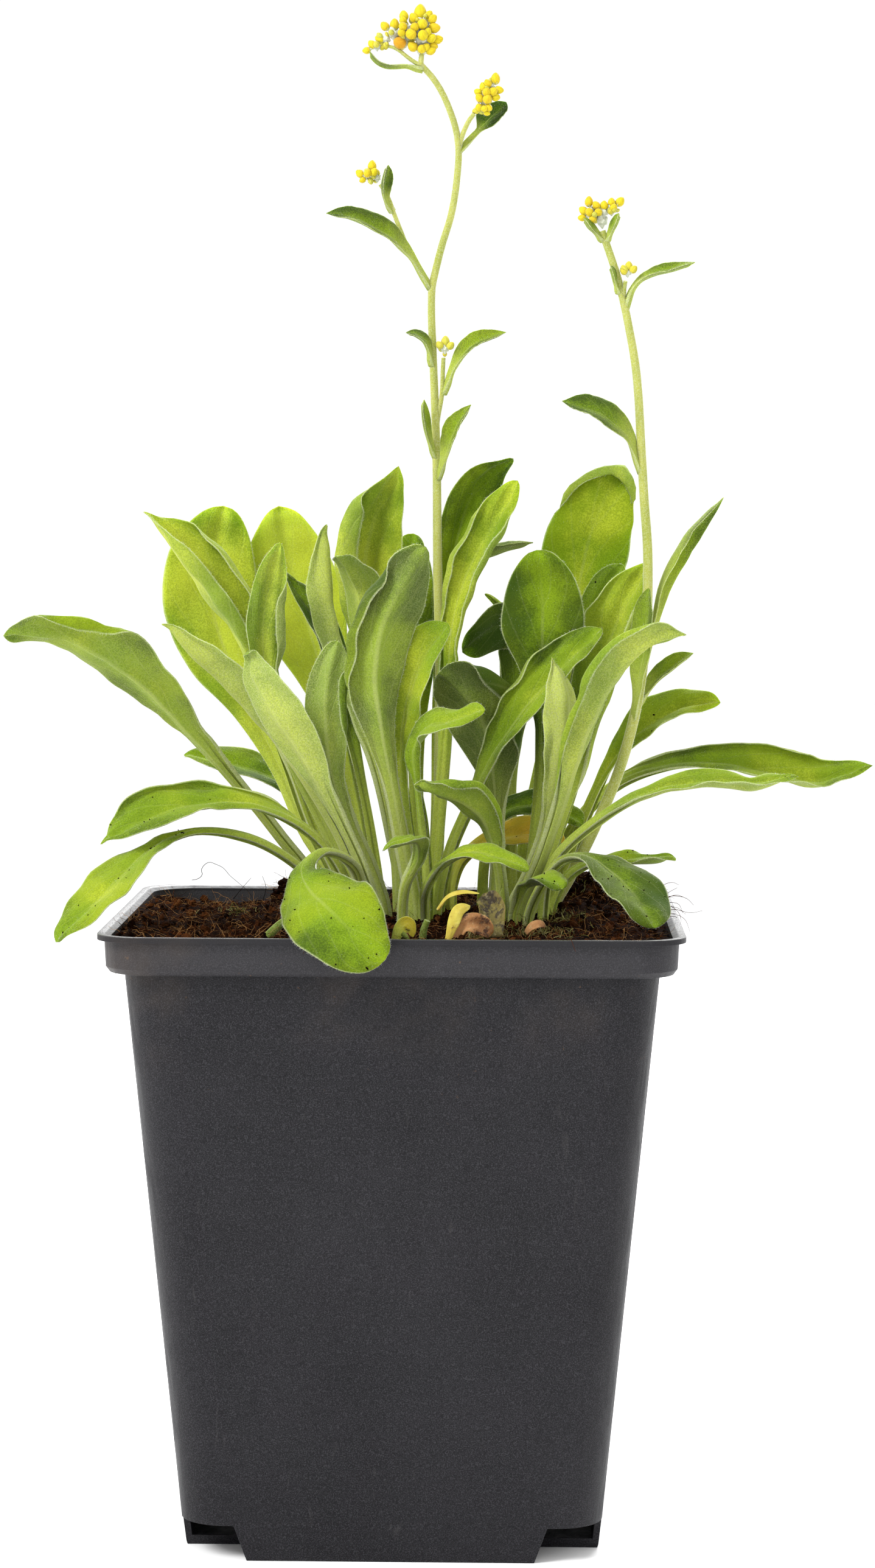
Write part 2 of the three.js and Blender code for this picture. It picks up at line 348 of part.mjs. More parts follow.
// Ring of a square with round corners, centred on the Z axis.
function squareRing(size, radius, z, steps = CORNER_STEPS) {
  const half = size / 2 - radius;
  const corners = [[half, half], [-half, half], [-half, -half], [half, -half]];
  const ring = [];
  corners.forEach(([x, y], corner) => {
    for (let step = 0; step <= steps; step++) {
      const angle = (corner + step / steps) * Math.PI / 2;
      ring.push(new THREE.Vector3(x + radius * Math.cos(angle), y + radius * Math.sin(angle), z));
    }
  });
  return ring;
}

function bodySize(z) {
  const share = z / (POT_HEIGHT - COLLAR_HEIGHT);
  return BODY_FOOT_SIZE + (BODY_TOP_SIZE - BODY_FOOT_SIZE) * share;
}

function innerRing(z, gap = 0) {
  return squareRing(bodySize(z) - 2 * (WALL + gap), CORNER_RADIUS - WALL, z);
}

// One drain notch: a slanted block that takes away the foot of one corner.
function notch(quarter) {
  const inner = BODY_FOOT_SIZE / 2 - NOTCH_SIDE;
  const outer = BODY_FOOT_SIZE;
  const square = (near, z) => [[near, near], [outer, near], [outer, outer], [near, outer]]
    .map(([x, y]) => new THREE.Vector3(x, y, z).applyAxisAngle(new THREE.Vector3(0, 0, 1), quarter * Math.PI / 2));
  const low = square(inner - NOTCH_SLANT / 2, -1);
  const high = square(inner + NOTCH_SLANT, NOTCH_HEIGHT);
  const middle = (ring) => ring[0].clone().add(ring[2]).multiplyScalar(0.5);
  return toManifold(skin([low, high], middle(low), middle(high)));
}

function pot() {
  const collarFoot = POT_HEIGHT - COLLAR_HEIGHT;
  const lipFoot = POT_HEIGHT - LIP_THICK;
  const outside = [
    squareRing(BODY_FOOT_SIZE, CORNER_RADIUS, 0),
    squareRing(BODY_TOP_SIZE, CORNER_RADIUS, collarFoot),
    squareRing(COLLAR_SIZE - 1.6, CORNER_RADIUS, collarFoot),
    squareRing(COLLAR_SIZE - 0.4, CORNER_RADIUS, collarFoot + 0.8),
    squareRing(COLLAR_SIZE, CORNER_RADIUS, lipFoot),
    squareRing(LIP_SIZE, CORNER_RADIUS, lipFoot),
    squareRing(LIP_SIZE, CORNER_RADIUS, POT_HEIGHT),
  ];
  const inside = [
    squareRing(COLLAR_SIZE - 2 * WALL, CORNER_RADIUS - WALL, POT_HEIGHT),
    squareRing(COLLAR_SIZE - 2 * WALL - 0.4, CORNER_RADIUS - WALL, collarFoot + 1.4),
    innerRing(collarFoot),
    innerRing(FLOOR),
  ];
  let solid = toManifold(skin([...outside, ...inside], new THREE.Vector3(0, 0, 0), new THREE.Vector3(0, 0, FLOOR)));
  for (let quarter = 0; quarter < 4; quarter++) solid = solid.subtract(notch(quarter));
  return named('pot', fromManifold(solid), 'pot');
}

function soilHeight(x, y) {
  const ripple = 0.25 * Math.sin(x * 0.55 + 1) * Math.cos(y * 0.5) + 0.2 * Math.sin((x - y) * 0.9);
  return MOUNDS.reduce((height, mound) => {
    const away = ((x - mound.x) ** 2 + (y - mound.y) ** 2) / mound.spread ** 2;
    return height + mound.rise * Math.exp(-away);
  }, SOIL_LEVEL + ripple);
}

function soil(holes) {
  const gap = CLEARANCE;
  const collarFoot = POT_HEIGHT - COLLAR_HEIGHT;
  const edge = squareRing(COLLAR_SIZE - 2 * (WALL + gap) - 0.6, CORNER_RADIUS - WALL, 0);
  const rings = [innerRing(NOTCH_HEIGHT + 1, gap), innerRing(collarFoot, gap),
    squareRing(COLLAR_SIZE - 2 * (WALL + gap) - 0.6, CORNER_RADIUS - WALL, collarFoot + 2)];
  for (const share of [1, 0.88, 0.74, 0.6, 0.46, 0.32, 0.16]) {
    rings.push(edge.map((p) => {
      const [x, y] = [p.x * share, p.y * share];
      return new THREE.Vector3(x, y, share === 1 ? Math.min(soilHeight(x, y), POT_HEIGHT - 1) : soilHeight(x, y));
    }));
  }
  const foot = [innerRing(FLOOR + gap, gap).map((p) => p.clone().multiply(vec([0.5, 0.5, 1])))];
  let solid = toManifold(skin([...foot, ...rings], new THREE.Vector3(0, 0, FLOOR + gap),
    new THREE.Vector3(0, 0, soilHeight(0, 0))));
  for (const hole of holes) solid = solid.subtract(hole);
  return named('soil', fromManifold(solid), 'soil');
}

// A curve with a frame at each station: along the curve, across the blade, and out of its upper side.
function stations(points, fractions, face, reference) {
  const curve = new THREE.CatmullRomCurve3(points, false, 'centripetal');
  const frames = fractions.map((u) => ({ u, at: curve.getPointAt(u), along: curve.getTangentAt(u) }));
  const level = (vector, along) => vector.clone().addScaledVector(along, -vector.dot(along)).normalize();
  const middle = frames.reduce((best, f, i) => (
    Math.abs(f.u - reference) < Math.abs(frames[best].u - reference) ? i : best), 0);
  frames[middle].up = level(vec(face), frames[middle].along);
  for (let i = middle + 1; i < frames.length; i++) frames[i].up = level(frames[i - 1].up, frames[i].along);
  for (let i = middle - 1; i >= 0; i--) frames[i].up = level(frames[i + 1].up, frames[i].along);
  frames.forEach((f) => { f.across = new THREE.Vector3().crossVectors(f.along, f.up); });
  return { frames, end: curve.getPointAt(1) };
}

const LONG_LEAF = [0, 0.08, 0.24, 0.4, 0.54, 0.67, 0.78, 0.87, 0.945, 0.985];
const SHORT_LEAF = [0, 0.14, 0.36, 0.56, 0.74, 0.88, 0.98];

// The eight points of a leaf's section: left margin, three above, right margin and three below.
const SECTION = [[-1, 0], [-0.5, 1], [0, 1], [0.5, 1], [1, 0], [0.3, -1], [0, -1], [-0.3, -1]];

function leafRings(leaf, points, fractions) {
  const { width, stalk, fold = 0, wave = 0.35, tip = 0.5, from = 0.42, widest = 0.78 } = leaf;
  const { frames, end } = stations(points, fractions, leaf.face, widest);
  const rings = frames.map((f) => {
    const open = THREE.MathUtils.smoothstep(f.u, from, widest);
    const close = Math.max(0, (f.u - widest) / (1 - widest));
    const half = (stalk + (width - stalk) * open) / 2 * (1 - close * close) ** tip;
    const thick = THREE.MathUtils.lerp(STALK_THICK, BLADE_THICK, THREE.MathUtils.smoothstep(f.u, from - 0.2, from + 0.2));
    const angle = THREE.MathUtils.degToRad(fold);
    return SECTION.map(([side, face]) => {
      const ripple = wave * open * side * side * Math.sin(f.u * 22 + side * 2);
      const lens = face * thick / 2 * (1 - 0.3 * side * side) - (face < 0 && side === 0 ? RIB_DEPTH : 0);
      return f.at.clone()
        .addScaledVector(f.across, side * half * Math.cos(angle))
        .addScaledVector(f.up, Math.abs(side) * half * Math.sin(angle) + ripple + lens);
    });
  });
  const start = frames[0].at.clone().addScaledVector(frames[0].along, -STALK_CAP);
  return { rings, start, end };
}

function rootedPath(root, path) {
  const ground = soilHeight(...root);
  return [vec([...root, ground - ROOT_DEPTH]), vec([...root, ground]), ...path.map(vec)];
}

// The hole that a stalk stands in, opened a little towards the top where the stalk starts to lean.
function holeAround(root, stalk) {
  const ground = soilHeight(...root);
  const ring = (z, radius) => Array.from({ length: HOLE_SIDES }, (_, j) => {
    const angle = j / HOLE_SIDES * Math.PI * 2;
    return vec([root[0] + radius * Math.cos(angle), root[1] + radius * Math.sin(angle), z]);
  });
  const low = ground - ROOT_DEPTH - STALK_CAP - CLEARANCE;
  const high = ground + 2;
  const radius = (stalk / 2 + CLEARANCE) / Math.cos(Math.PI / HOLE_SIDES);
  return toManifold(skin([ring(low, radius), ring(high, radius + HOLE_FLARE)], vec([...root, low]), vec([...root, high])));
}

function leaf(entry, holes) {
  const fractions = entry.short ? SHORT_LEAF : LONG_LEAF;
  const parts = leafRings(entry, rootedPath(entry.root, entry.path), fractions);
  holes.push(holeAround(entry.root, entry.stalk));
  return named(entry.name, skin(parts.rings, parts.start, parts.end, true), entry.yellow ? 'yellowing' : 'leaf');
}

function tube(points, radii, sides, steps) {
  const fractions = Array.from({ length: steps + 1 }, (_, i) => i / steps);
  const { frames } = stations(points, fractions, [0.2, -1, 0.1], 0.5);
  const rings = frames.map((f) => Array.from({ length: sides }, (_, j) => {
    const angle = -j / sides * Math.PI * 2;
    const radius = THREE.MathUtils.lerp(...radii, f.u);
    return f.at.clone()
      .addScaledVector(f.across, radius * Math.cos(angle))
      .addScaledVector(f.up, radius * Math.sin(angle));
  }));
  const cap = (f, way) => f.at.clone().addScaledVector(f.along, way * 0.1);
  return { rings, start: cap(frames[0], -1), end: cap(frames.at(-1), 1) };
}

function stemLeaf(entry) {
  const parts = leafRings({ stalk: 1.2, from: 0.1, widest: 0.62, ...entry }, entry.path.map(vec), [0, 0.3, 0.6, 0.85]);
  return toManifold(skin(parts.rings, parts.start, parts.end, true));
}

function flowerStem(entry, holes) {
  const axis = tube(rootedPath(entry.root, entry.path), entry.radius, 5, 18);
  holes.push(holeAround(entry.root, 2 * entry.radius[0]));
  let solid = toManifold(skin(axis.rings, axis.start, axis.end));
  for (const branch of entry.branches) {
    const side = tube(branch.path.map(vec), branch.radius, 4, 3);
    solid = solid.add(toManifold(skin(side.rings, side.start, side.end)));
  }
  for (const blade of entry.leaves) solid = solid.add(stemLeaf(blade));
  return named(entry.name, fromManifold(solid), 'stem');
}

// A low ball of two rings between its poles.
function ball(centre, radius) {
  const ring = (z) => Array.from({ length: BUD_SIDES }, (_, j) => {
    const angle = j / BUD_SIDES * Math.PI * 2;
    const flat = Math.sqrt(1 - z * z);
    return centre.clone().add(vec([flat * Math.cos(angle), flat * Math.sin(angle), z]).multiplyScalar(radius));
  });
  const pole = (way) => centre.clone().add(vec([0, 0, way * radius]));
  return toManifold(skin([ring(-0.45), ring(0.45)], pole(-1), pole(1)));
}

function budHead(entry) {
  const twins = entry.buds.filter(([, y]) => y <= TWIN_FROM).map(([x, y, z, radius]) => [x, -y, z, radius]);
  const solid = [NECK, ...entry.core, ...entry.buds, ...twins]
    .map(([x, y, z, radius]) => ball(vec(entry.at).add(vec([x, y, z])), radius))
    .reduce((whole, piece) => whole.add(piece));
  return named(entry.name, fromManifold(solid), entry.pale ? 'paleBuds' : 'buds');
}

function litter({ name, from, to, width, rise }) {
  const [a, b] = [from, to].map(([x, y]) => vec([x, y, soilHeight(x, y) + 0.9]));
  const middle = a.clone().add(b).multiplyScalar(0.5);
  middle.z = Math.max(middle.z, soilHeight(middle.x, middle.y) + rise);
  const parts = leafRings({ width, stalk: width * 0.6, face: [0, 0, 1], fold: 6, from: 0, widest: 0.5 },
    [a, middle, b], [0.02, 0.25, 0.5, 0.75, 0.95]);
  return named(name, skin(parts.rings, parts.start, parts.end, true), 'dead');
}

const plant = new THREE.Group();
const holes = [];
for (const entry of LEAVES) plant.add(leaf(entry, holes));
for (const entry of STEMS) plant.add(flowerStem(entry, holes));
for (const entry of HEADS) plant.add(budHead(entry));
for (const entry of LITTER) plant.add(litter(entry));
plant.add(soil(holes));
plant.add(pot());

export default plant;
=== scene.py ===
# %% [markdown]
# A young felted plant with yellow buds, in a square nursery pot.
#
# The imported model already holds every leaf, stem and bud head as a simple solid at its real place. This
# lesson dresses it: each leaf becomes a fine blade with veins and a woolly rim, the peat gets its crumbs
# and fibres, and the pot gets its grain. Sizes are written in millimetres and turned into metres, and
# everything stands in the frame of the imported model.

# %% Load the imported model
import json
import math

import bmesh
import bpy
import numpy as np
from mathutils import Matrix, Vector, noise

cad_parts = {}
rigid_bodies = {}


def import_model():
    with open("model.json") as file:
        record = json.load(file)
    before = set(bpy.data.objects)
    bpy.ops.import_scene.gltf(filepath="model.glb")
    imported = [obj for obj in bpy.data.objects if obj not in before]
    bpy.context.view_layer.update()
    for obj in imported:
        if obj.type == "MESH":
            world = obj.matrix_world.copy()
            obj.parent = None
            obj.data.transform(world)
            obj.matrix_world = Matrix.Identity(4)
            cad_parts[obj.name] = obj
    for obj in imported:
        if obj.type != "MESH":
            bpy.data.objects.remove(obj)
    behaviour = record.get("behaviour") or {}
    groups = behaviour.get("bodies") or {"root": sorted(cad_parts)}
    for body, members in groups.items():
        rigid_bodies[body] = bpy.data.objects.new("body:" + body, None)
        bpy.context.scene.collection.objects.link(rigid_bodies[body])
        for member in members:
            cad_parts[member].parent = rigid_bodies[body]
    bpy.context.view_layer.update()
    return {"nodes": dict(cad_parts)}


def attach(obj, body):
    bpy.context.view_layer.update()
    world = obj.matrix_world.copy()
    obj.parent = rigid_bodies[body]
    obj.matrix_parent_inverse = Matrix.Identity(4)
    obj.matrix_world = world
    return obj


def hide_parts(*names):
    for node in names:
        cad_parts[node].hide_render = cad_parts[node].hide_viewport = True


for leftover in list(bpy.data.objects):
    bpy.data.objects.remove(leftover)
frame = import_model()
NODES = frame["nodes"]
MM = 0.001
SEED = 7

# %% [markdown]
# Every new piece goes the same way: its bmesh becomes a mesh, and the mesh becomes an object in the scene.
# The object stays at the origin, unturned, and the piece has its place in its mesh. A pattern that reads
# Object coordinates then can't slide over it.

# %% Helper for new pieces


def place_in_scene(name, data):
    """An object at the origin that shows a mesh, a curve, a lamp or a camera."""
    thing = bpy.data.objects.new(name, data)
    bpy.context.scene.collection.objects.link(thing)
    return thing


def new_object(name, bm, materials):
    """Turns a bmesh into a smooth-shaded object, and frees the bmesh."""
    mesh = bpy.data.meshes.new(name)
    bm.to_mesh(mesh)
    bm.free()
    mesh.shade_smooth()
    for material in materials:
        mesh.materials.append(material)
    return place_in_scene(name, mesh)


def push_on(bm, edges):
    """Extrudes a ring of edges on the spot. Gives the new points and the new ring."""
    made = bmesh.ops.extrude_edge_only(bm, edges=edges)["geom"]
    points = [item for item in made if isinstance(item, bmesh.types.BMVert)]
    return points, [item for item in made if isinstance(item, bmesh.types.BMEdge) and item.is_boundary]


# %% [markdown]
# The camera stands where the photographer stood. Its place, its turn and its focal length were worked out
# from the pot alone, because a square rim of known size gives the perspective: about 0.6 m away, a little
# to the right, looking down by less than 4 degrees.

# %% Camera
IMAGE_HEIGHT = 2576
FOCAL_PIXELS = 6571.8
CAMERA_PLACE = Vector((18.93, -645.0, 161.31)) * MM
CAMERA_YAW = 0.0197
CAMERA_PITCH = 0.0652
CAMERA_ROLL = 0.0041
SENSOR = 36.0


def add_camera():
    forward = Vector((-math.sin(CAMERA_YAW) * math.cos(CAMERA_PITCH),
                      math.cos(CAMERA_YAW) * math.cos(CAMERA_PITCH),
                      -math.sin(CAMERA_PITCH)))
    level = Vector((math.cos(CAMERA_YAW), math.sin(CAMERA_YAW), 0))
    above = level.cross(forward)
    right = level * math.cos(CAMERA_ROLL) + above * math.sin(CAMERA_ROLL)
    up = above * math.cos(CAMERA_ROLL) - level * math.sin(CAMERA_ROLL)
    data = bpy.data.cameras.new("camera")
    data.sensor_fit = "VERTICAL"
    data.sensor_height = SENSOR
    data.lens = FOCAL_PIXELS * SENSOR / IMAGE_HEIGHT
    data.clip_start = 0.01
    camera = place_in_scene("camera", data)
    turn = Matrix((right, up, -forward)).transposed()
    camera.matrix_world = Matrix.Translation(CAMERA_PLACE) @ turn.to_4x4()
    bpy.context.scene.camera = camera
    print("lens mm", round(data.lens, 2))


add_camera()

# %% [markdown]
# The light is a plain white studio. A white sky all round gives the soft shade between the leaves, and four
# wide lamps add the rest: a strong one from the upper left, weaker ones from the right and the front, and
# one behind the plant that shines through the thin leaves. The colours are shown without a film curve, so
# that white stays white and the floor melts into the background.

# %% Studio
FLOOR_COLOUR = (0.97, 0.97, 0.97, 1)
FLOOR_HALF = 3.0
SKY_STRENGTH = 1.03
LAMPS = [
    # name, place, aim, size, watts
    ("lamp_left", (-0.55, -0.5, 0.75), (0, 0, 0.12), 0.35, 9.5),
    ("lamp_right", (0.65, -0.3, 0.5), (0, 0, 0.12), 0.4, 1.0),
    ("lamp_behind", (0.12, 0.6, 0.6), (0, 0, 0.14), 0.5, 9.0),
    ("lamp_front", (0.0, -0.9, 0.3), (0, 0, 0.1), 0.5, 1.2),
]


def add_studio():
    world = bpy.data.worlds.new("studio")
    world.use_nodes = True
    world.node_tree.nodes["Background"].inputs["Color"].default_value = (1, 1, 1, 1)
    world.node_tree.nodes["Background"].inputs["Strength"].default_value = SKY_STRENGTH
    bpy.context.scene.world = world
    bpy.context.scene.view_settings.view_transform = "Standard"
    for name, place, aim, size, watts in LAMPS:
        data = bpy.data.lights.new(name, "AREA")
        data.size = size
        data.energy = watts
        lamp = place_in_scene(name, data)
        lamp.location = place
        lamp.rotation_euler = (Vector(aim) - Vector(place)).to_track_quat("-Z", "Y").to_euler()
    material = bpy.data.materials.new("studio_floor")
    material.use_nodes = True
    surface = material.node_tree.nodes["Principled BSDF"]
    surface.inputs["Base Color"].default_value = FLOOR_COLOUR
    surface.inputs["Roughness"].default_value = 0.9
    bm = bmesh.new()
    bmesh.ops.create_grid(bm, x_segments=1, y_segments=1, size=FLOOR_HALF)
    floor = new_object("studio_floor", bm, [material])
    print("lamps", len(LAMPS), "floor size m", 2 * FLOOR_HALF)


add_studio()

# %% [markdown]
# Materials are small node trees. A few helpers keep each one short: one adds a node and wires its inputs,
# one mixes two colours, one does arithmetic, and one turns a value into a soft step between two limits.

# %% Helpers for materials


def add(tree, kind, inputs=(), **settings):
    """Adds a node. Each input is a value or another node's output."""
    made = tree.nodes.new(kind)
    for key, value in settings.items():
        setattr(made, key, value)
    for key, value in dict(inputs).items():
        if isinstance(value, bpy.types.NodeSocket):
            tree.links.new(value, made.inputs[key])
        else:
            made.inputs[key].default_value = value
    return made


def mix(tree, share, first, second):
    made = add(tree, "ShaderNodeMix", {0: share, 6: first, 7: second}, data_type="RGBA")
    return made.outputs[2]


def calc(tree, operation, first, second=0.0):
    return add(tree, "ShaderNodeMath", {0: first, 1: second}, operation=operation).outputs[0]


def step(tree, value, low, high, least=0.0, most=1.0):
    """Soft step: least at low, most at high."""
    made = add(tree, "ShaderNodeMapRange", {"Value": value, "From Min": low, "From Max": high,
                                            "To Min": least, "To Max": most}, interpolation_type="SMOOTHSTEP")
    return made.outputs["Result"]


def grain(tree, place, scale, detail=3.0, roughness=0.55, distortion=0.0):
    return add(tree, "ShaderNodeTexNoise", {"Vector": place, "Scale": scale, "Detail": detail,
                                            "Roughness": roughness, "Distortion": distortion}).outputs["Fac"]


# how many times its own brightness a surface shows in this studio
LIGHT = 1.65


def colour(red, green, blue):
    """The shader's linear colour for one that should look like this on screen, from 0 to 255."""
    linear = [c / 255 / 12.92 if c < 11 else ((c / 255 + 0.055) / 1.055) ** 2.4 for c in (red, green, blue)]
    return (*(c / LIGHT for c in linear), 1)


def new_material(name, roughness, **constants):
    """A material with a Principled shader. Constants go straight on the shader's own sockets."""
    material = bpy.data.materials.new(name)
    material.use_nodes = True
    tree = material.node_tree
    shader = tree.nodes["Principled BSDF"]
    shader.inputs["Roughness"].default_value = roughness
    for key, value in constants.items():
        shader.inputs[key.replace("_", " ")].default_value = value
    place = tree.nodes.new("ShaderNodeTexCoord")
    return material, tree, shader, place


def bump(tree, shader, height, strength, distance):
    made = add(tree, "ShaderNodeBump", {"Height": height, "Strength": strength, "Distance": distance})
    tree.links.new(made.outputs["Normal"], shader.inputs["Normal"])


def stored_tone(tree):
    """The three numbers that a piece stores on its points, as Red, Green and Blue."""
    tone = add(tree, "ShaderNodeAttribute", attribute_name="tone")
    return add(tree, "ShaderNodeSeparateColor", {"Color": tone.outputs["Color"]}).outputs


print("shader colour of a middle grey", [round(part, 3) for part in colour(128, 128, 128)[:3]])

# %% [markdown]
# The pot is the usual square nursery pot, 9 cm over the lip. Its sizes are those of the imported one. They
# come first, because the finish needs some of them as well: dust and gloss depend on the height.

# %% Pot sizes
LIP_SIZE = 90.0
POT_HEIGHT = 98.6
LIP_THICK = 0.9
LIP_FOOT = POT_HEIGHT - LIP_THICK
COLLAR_SIZE = 88.0
COLLAR_HEIGHT = 6.0
COLLAR_FOOT = POT_HEIGHT - COLLAR_HEIGHT
BODY_TOP_SIZE = 82.4
BODY_FOOT_SIZE = 64.8
CORNER_RADIUS = 7.5
WALL = 1.0
FLOOR = 1.6
print("collar from", round(COLLAR_FOOT, 1), "to", POT_HEIGHT)

# %% [markdown]
# The pot is moulded black plastic that time has turned anthracite. Its wall is not a smooth mirror: it has
# a fine moulded grain, faint scuffs that run down the wall, and dust and splashed peat under the rim. A
# painted picture could show those, but noise needs no file, has no seams and can be as fine as the
# plastic's own grain. Only the lip is glossy, from all the hands that carried the pot by it.

# %% Pot finish
PLASTIC_GRAIN = 5400
SCUFF_GRAIN = 420
SPLASH_GRAIN = 620
DUST_FROM = 74.0
SPLASH_FROM = 60.0


def pot_finish():
    material, tree, shader, place = new_material("pot_plastic", 0.5)
    spot = place.outputs["Object"]
    fine = grain(tree, spot, PLASTIC_GRAIN, 2, 0.7)
    cloud = grain(tree, spot, 38, 4, 0.6)
    stretched = add(tree, "ShaderNodeMapping", {"Vector": spot, "Scale": (1.0, 1.0, 0.16)}).outputs[0]
    scuffs = grain(tree, stretched, SCUFF_GRAIN, 4, 0.7, 1.2)
    height = add(tree, "ShaderNodeSeparateXYZ", {"Vector": spot}).outputs["Z"]

    def rise(low, high, most=1.0):
        """From 0 at one height on the pot to the most at another, both in mm."""
        return step(tree, height, low * MM, high * MM, 0.0, most)

    base = mix(tree, step(tree, cloud, 0.3, 0.7), colour(23, 22, 26), colour(33, 32, 36))
    base = mix(tree, step(tree, fine, 0.45, 0.72, 0.0, 0.5), base, colour(82, 81, 86))
    base = mix(tree, step(tree, fine, 0.5, 0.3, 0.0, 0.6), base, colour(10, 10, 13))
    base = mix(tree, step(tree, scuffs, 0.6, 0.8, 0.0, 0.22), base, colour(96, 94, 93))
    base = mix(tree, rise(COLLAR_FOOT - 0.3, COLLAR_FOOT + 0.6, 0.12), base, colour(124, 122, 126))
    dust = calc(tree, "MULTIPLY", rise(DUST_FROM, POT_HEIGHT - 0.1), step(tree, cloud, 0.45, 0.7))
    base = mix(tree, calc(tree, "MULTIPLY", dust, 0.3), base, colour(108, 92, 76))
    drops = step(tree, grain(tree, spot, SPLASH_GRAIN, 3, 0.7), 0.68, 0.76)
    splash = calc(tree, "MULTIPLY", drops, rise(SPLASH_FROM, POT_HEIGHT - 0.6))
    base = mix(tree, calc(tree, "MULTIPLY", splash, 0.45), base, colour(120, 92, 66))
    base = mix(tree, rise(LIP_FOOT - 0.1, LIP_FOOT + 0.1, 0.6), base, colour(22, 22, 25))
    tree.links.new(base, shader.inputs["Base Color"])
    lip = rise(POT_HEIGHT - 0.2, POT_HEIGHT)
    scuffed = step(tree, scuffs, 0.3, 0.8, 0.42, 0.62)
    dull = calc(tree, "SUBTRACT", scuffed, calc(tree, "MULTIPLY", lip, 0.22))
    tree.links.new(dull, shader.inputs["Roughness"])
    tree.links.new(step(tree, lip, 0.0, 1.0, 0.15, 0.6), shader.inputs["Specular IOR Level"])
    bump(tree, shader, fine, 0.35, 0.0001)
    return material


pot_plastic = pot_finish()
print("pot finish nodes", len(pot_plastic.node_tree.nodes))

# %% [markdown]
# The pot itself is one thin skin. It could be four walls and a floor, but its corners are round and it
# tapers. Drawing it as a profile that steps up the outside, over the lip and down the inside keeps the wall
# thickness real everywhere. A rounded square is made once, by bevelling the corners of one face, and its
# edge is then extruded again and again to the next size and height.

# %% Pot helpers
CORNER_STEPS = 8


def rounded_square(half, radius, steps):
    bm = bmesh.new()
    corners = [bm.verts.new((x * half, y * half, 0)) for x, y in ((-1, 1), (1, 1), (1, -1), (-1, -1))]
    bm.faces.new(corners)
    bmesh.ops.bevel(bm, geom=corners, offset=radius, offset_type="OFFSET", segments=steps, profile=0.5,
                    affect="VERTICES", material=-1)
    return bm


def widen(points, change, height):
    """Moves a rounded square's points outwards by a step, corner radius kept, at a new height."""
    for point in points:
        point.co.x += change * math.copysign(1, point.co.x)
        point.co.y += change * math.copysign(1, point.co.y)
        point.co.z = height


print("points of a rounded square", 4 * (CORNER_STEPS + 1))

# %% [markdown]
# Water drains through four slanted notches, one at each corner of the foot. Cutting them with a boolean is
# the surest way, because each notch takes a bite out of two walls and the floor at once. The modifiers are
# applied right after.

# %% Drain notches
NOTCH_SIDE = 9.6
NOTCH_HEIGHT = 5.6
NOTCH_SLANT = 1.6


def drain_cutter(quarter):
    """The slanted block that one drain notch takes out of the pot's foot."""
    near = BODY_FOOT_SIZE / 2 - NOTCH_SIDE
    bm = bmesh.new()
    bmesh.ops.create_cube(bm, size=1.0)
    for point in bm.verts:
        top = point.co.z > 0
        inner = near + (NOTCH_SLANT if top else -NOTCH_SLANT / 2)
        point.co.x = (BODY_FOOT_SIZE if point.co.x > 0 else inner) * MM
        point.co.y = (BODY_FOOT_SIZE if point.co.y > 0 else inner) * MM
        point.co.z = (NOTCH_HEIGHT if top else -1.0) * MM
    turn = Matrix.Rotation(quarter * math.pi / 2, 3, "Z")
    bmesh.ops.rotate(bm, verts=bm.verts, cent=(0, 0, 0), matrix=turn)
    return new_object(f"drain_cutter_{quarter}", bm, [])


def bake(thing):
    """Applies an object's modifiers."""
    evaluated = thing.evaluated_get(bpy.context.evaluated_depsgraph_get())
    mesh = bpy.data.meshes.new_from_object(evaluated)
    thing.modifiers.clear()
    thing.data = mesh


print("notch mm", NOTCH_SIDE, "by", NOTCH_HEIGHT)

# %% [markdown]
# Now the profile is drawn, the notches are cut, and a narrow bevel goes round every edge, because moulded
# plastic has no sharp ones. It catches a thin line of light along the lip and the collar.

# %% Pot


def pot_body():
    """The pot's skin before its notches are cut."""
    foot = BODY_FOOT_SIZE / 2
    collar = COLLAR_SIZE / 2
    # half size and height, up the outside, over the lip and down the inside
    profile = [(foot + 0.15, 0.5), (BODY_TOP_SIZE / 2, COLLAR_FOOT), (collar - 0.8, COLLAR_FOOT),
               (collar - 0.2, COLLAR_FOOT + 0.9), (collar, LIP_FOOT),
               (LIP_SIZE / 2, LIP_FOOT), (LIP_SIZE / 2, POT_HEIGHT), (LIP_SIZE / 2 - 0.8, POT_HEIGHT),
               (collar - WALL, POT_HEIGHT - 0.5), (collar - WALL - 0.2, COLLAR_FOOT + 1.4),
               (BODY_TOP_SIZE / 2 - WALL, COLLAR_FOOT), (foot - WALL + 0.2, FLOOR)]
    bm = rounded_square(foot * MM, CORNER_RADIUS * MM, CORNER_STEPS)
    rim = [edge for edge in bm.edges if edge.is_boundary]
    size = foot
    for half, height in profile:
        points, rim = push_on(bm, rim)
        widen(points, (half - size) * MM, height * MM)
        size = half
    bmesh.ops.contextual_create(bm, geom=rim)
    bmesh.ops.recalc_face_normals(bm, faces=bm.faces)
    return new_object("pot_moulding", bm, [pot_plastic])


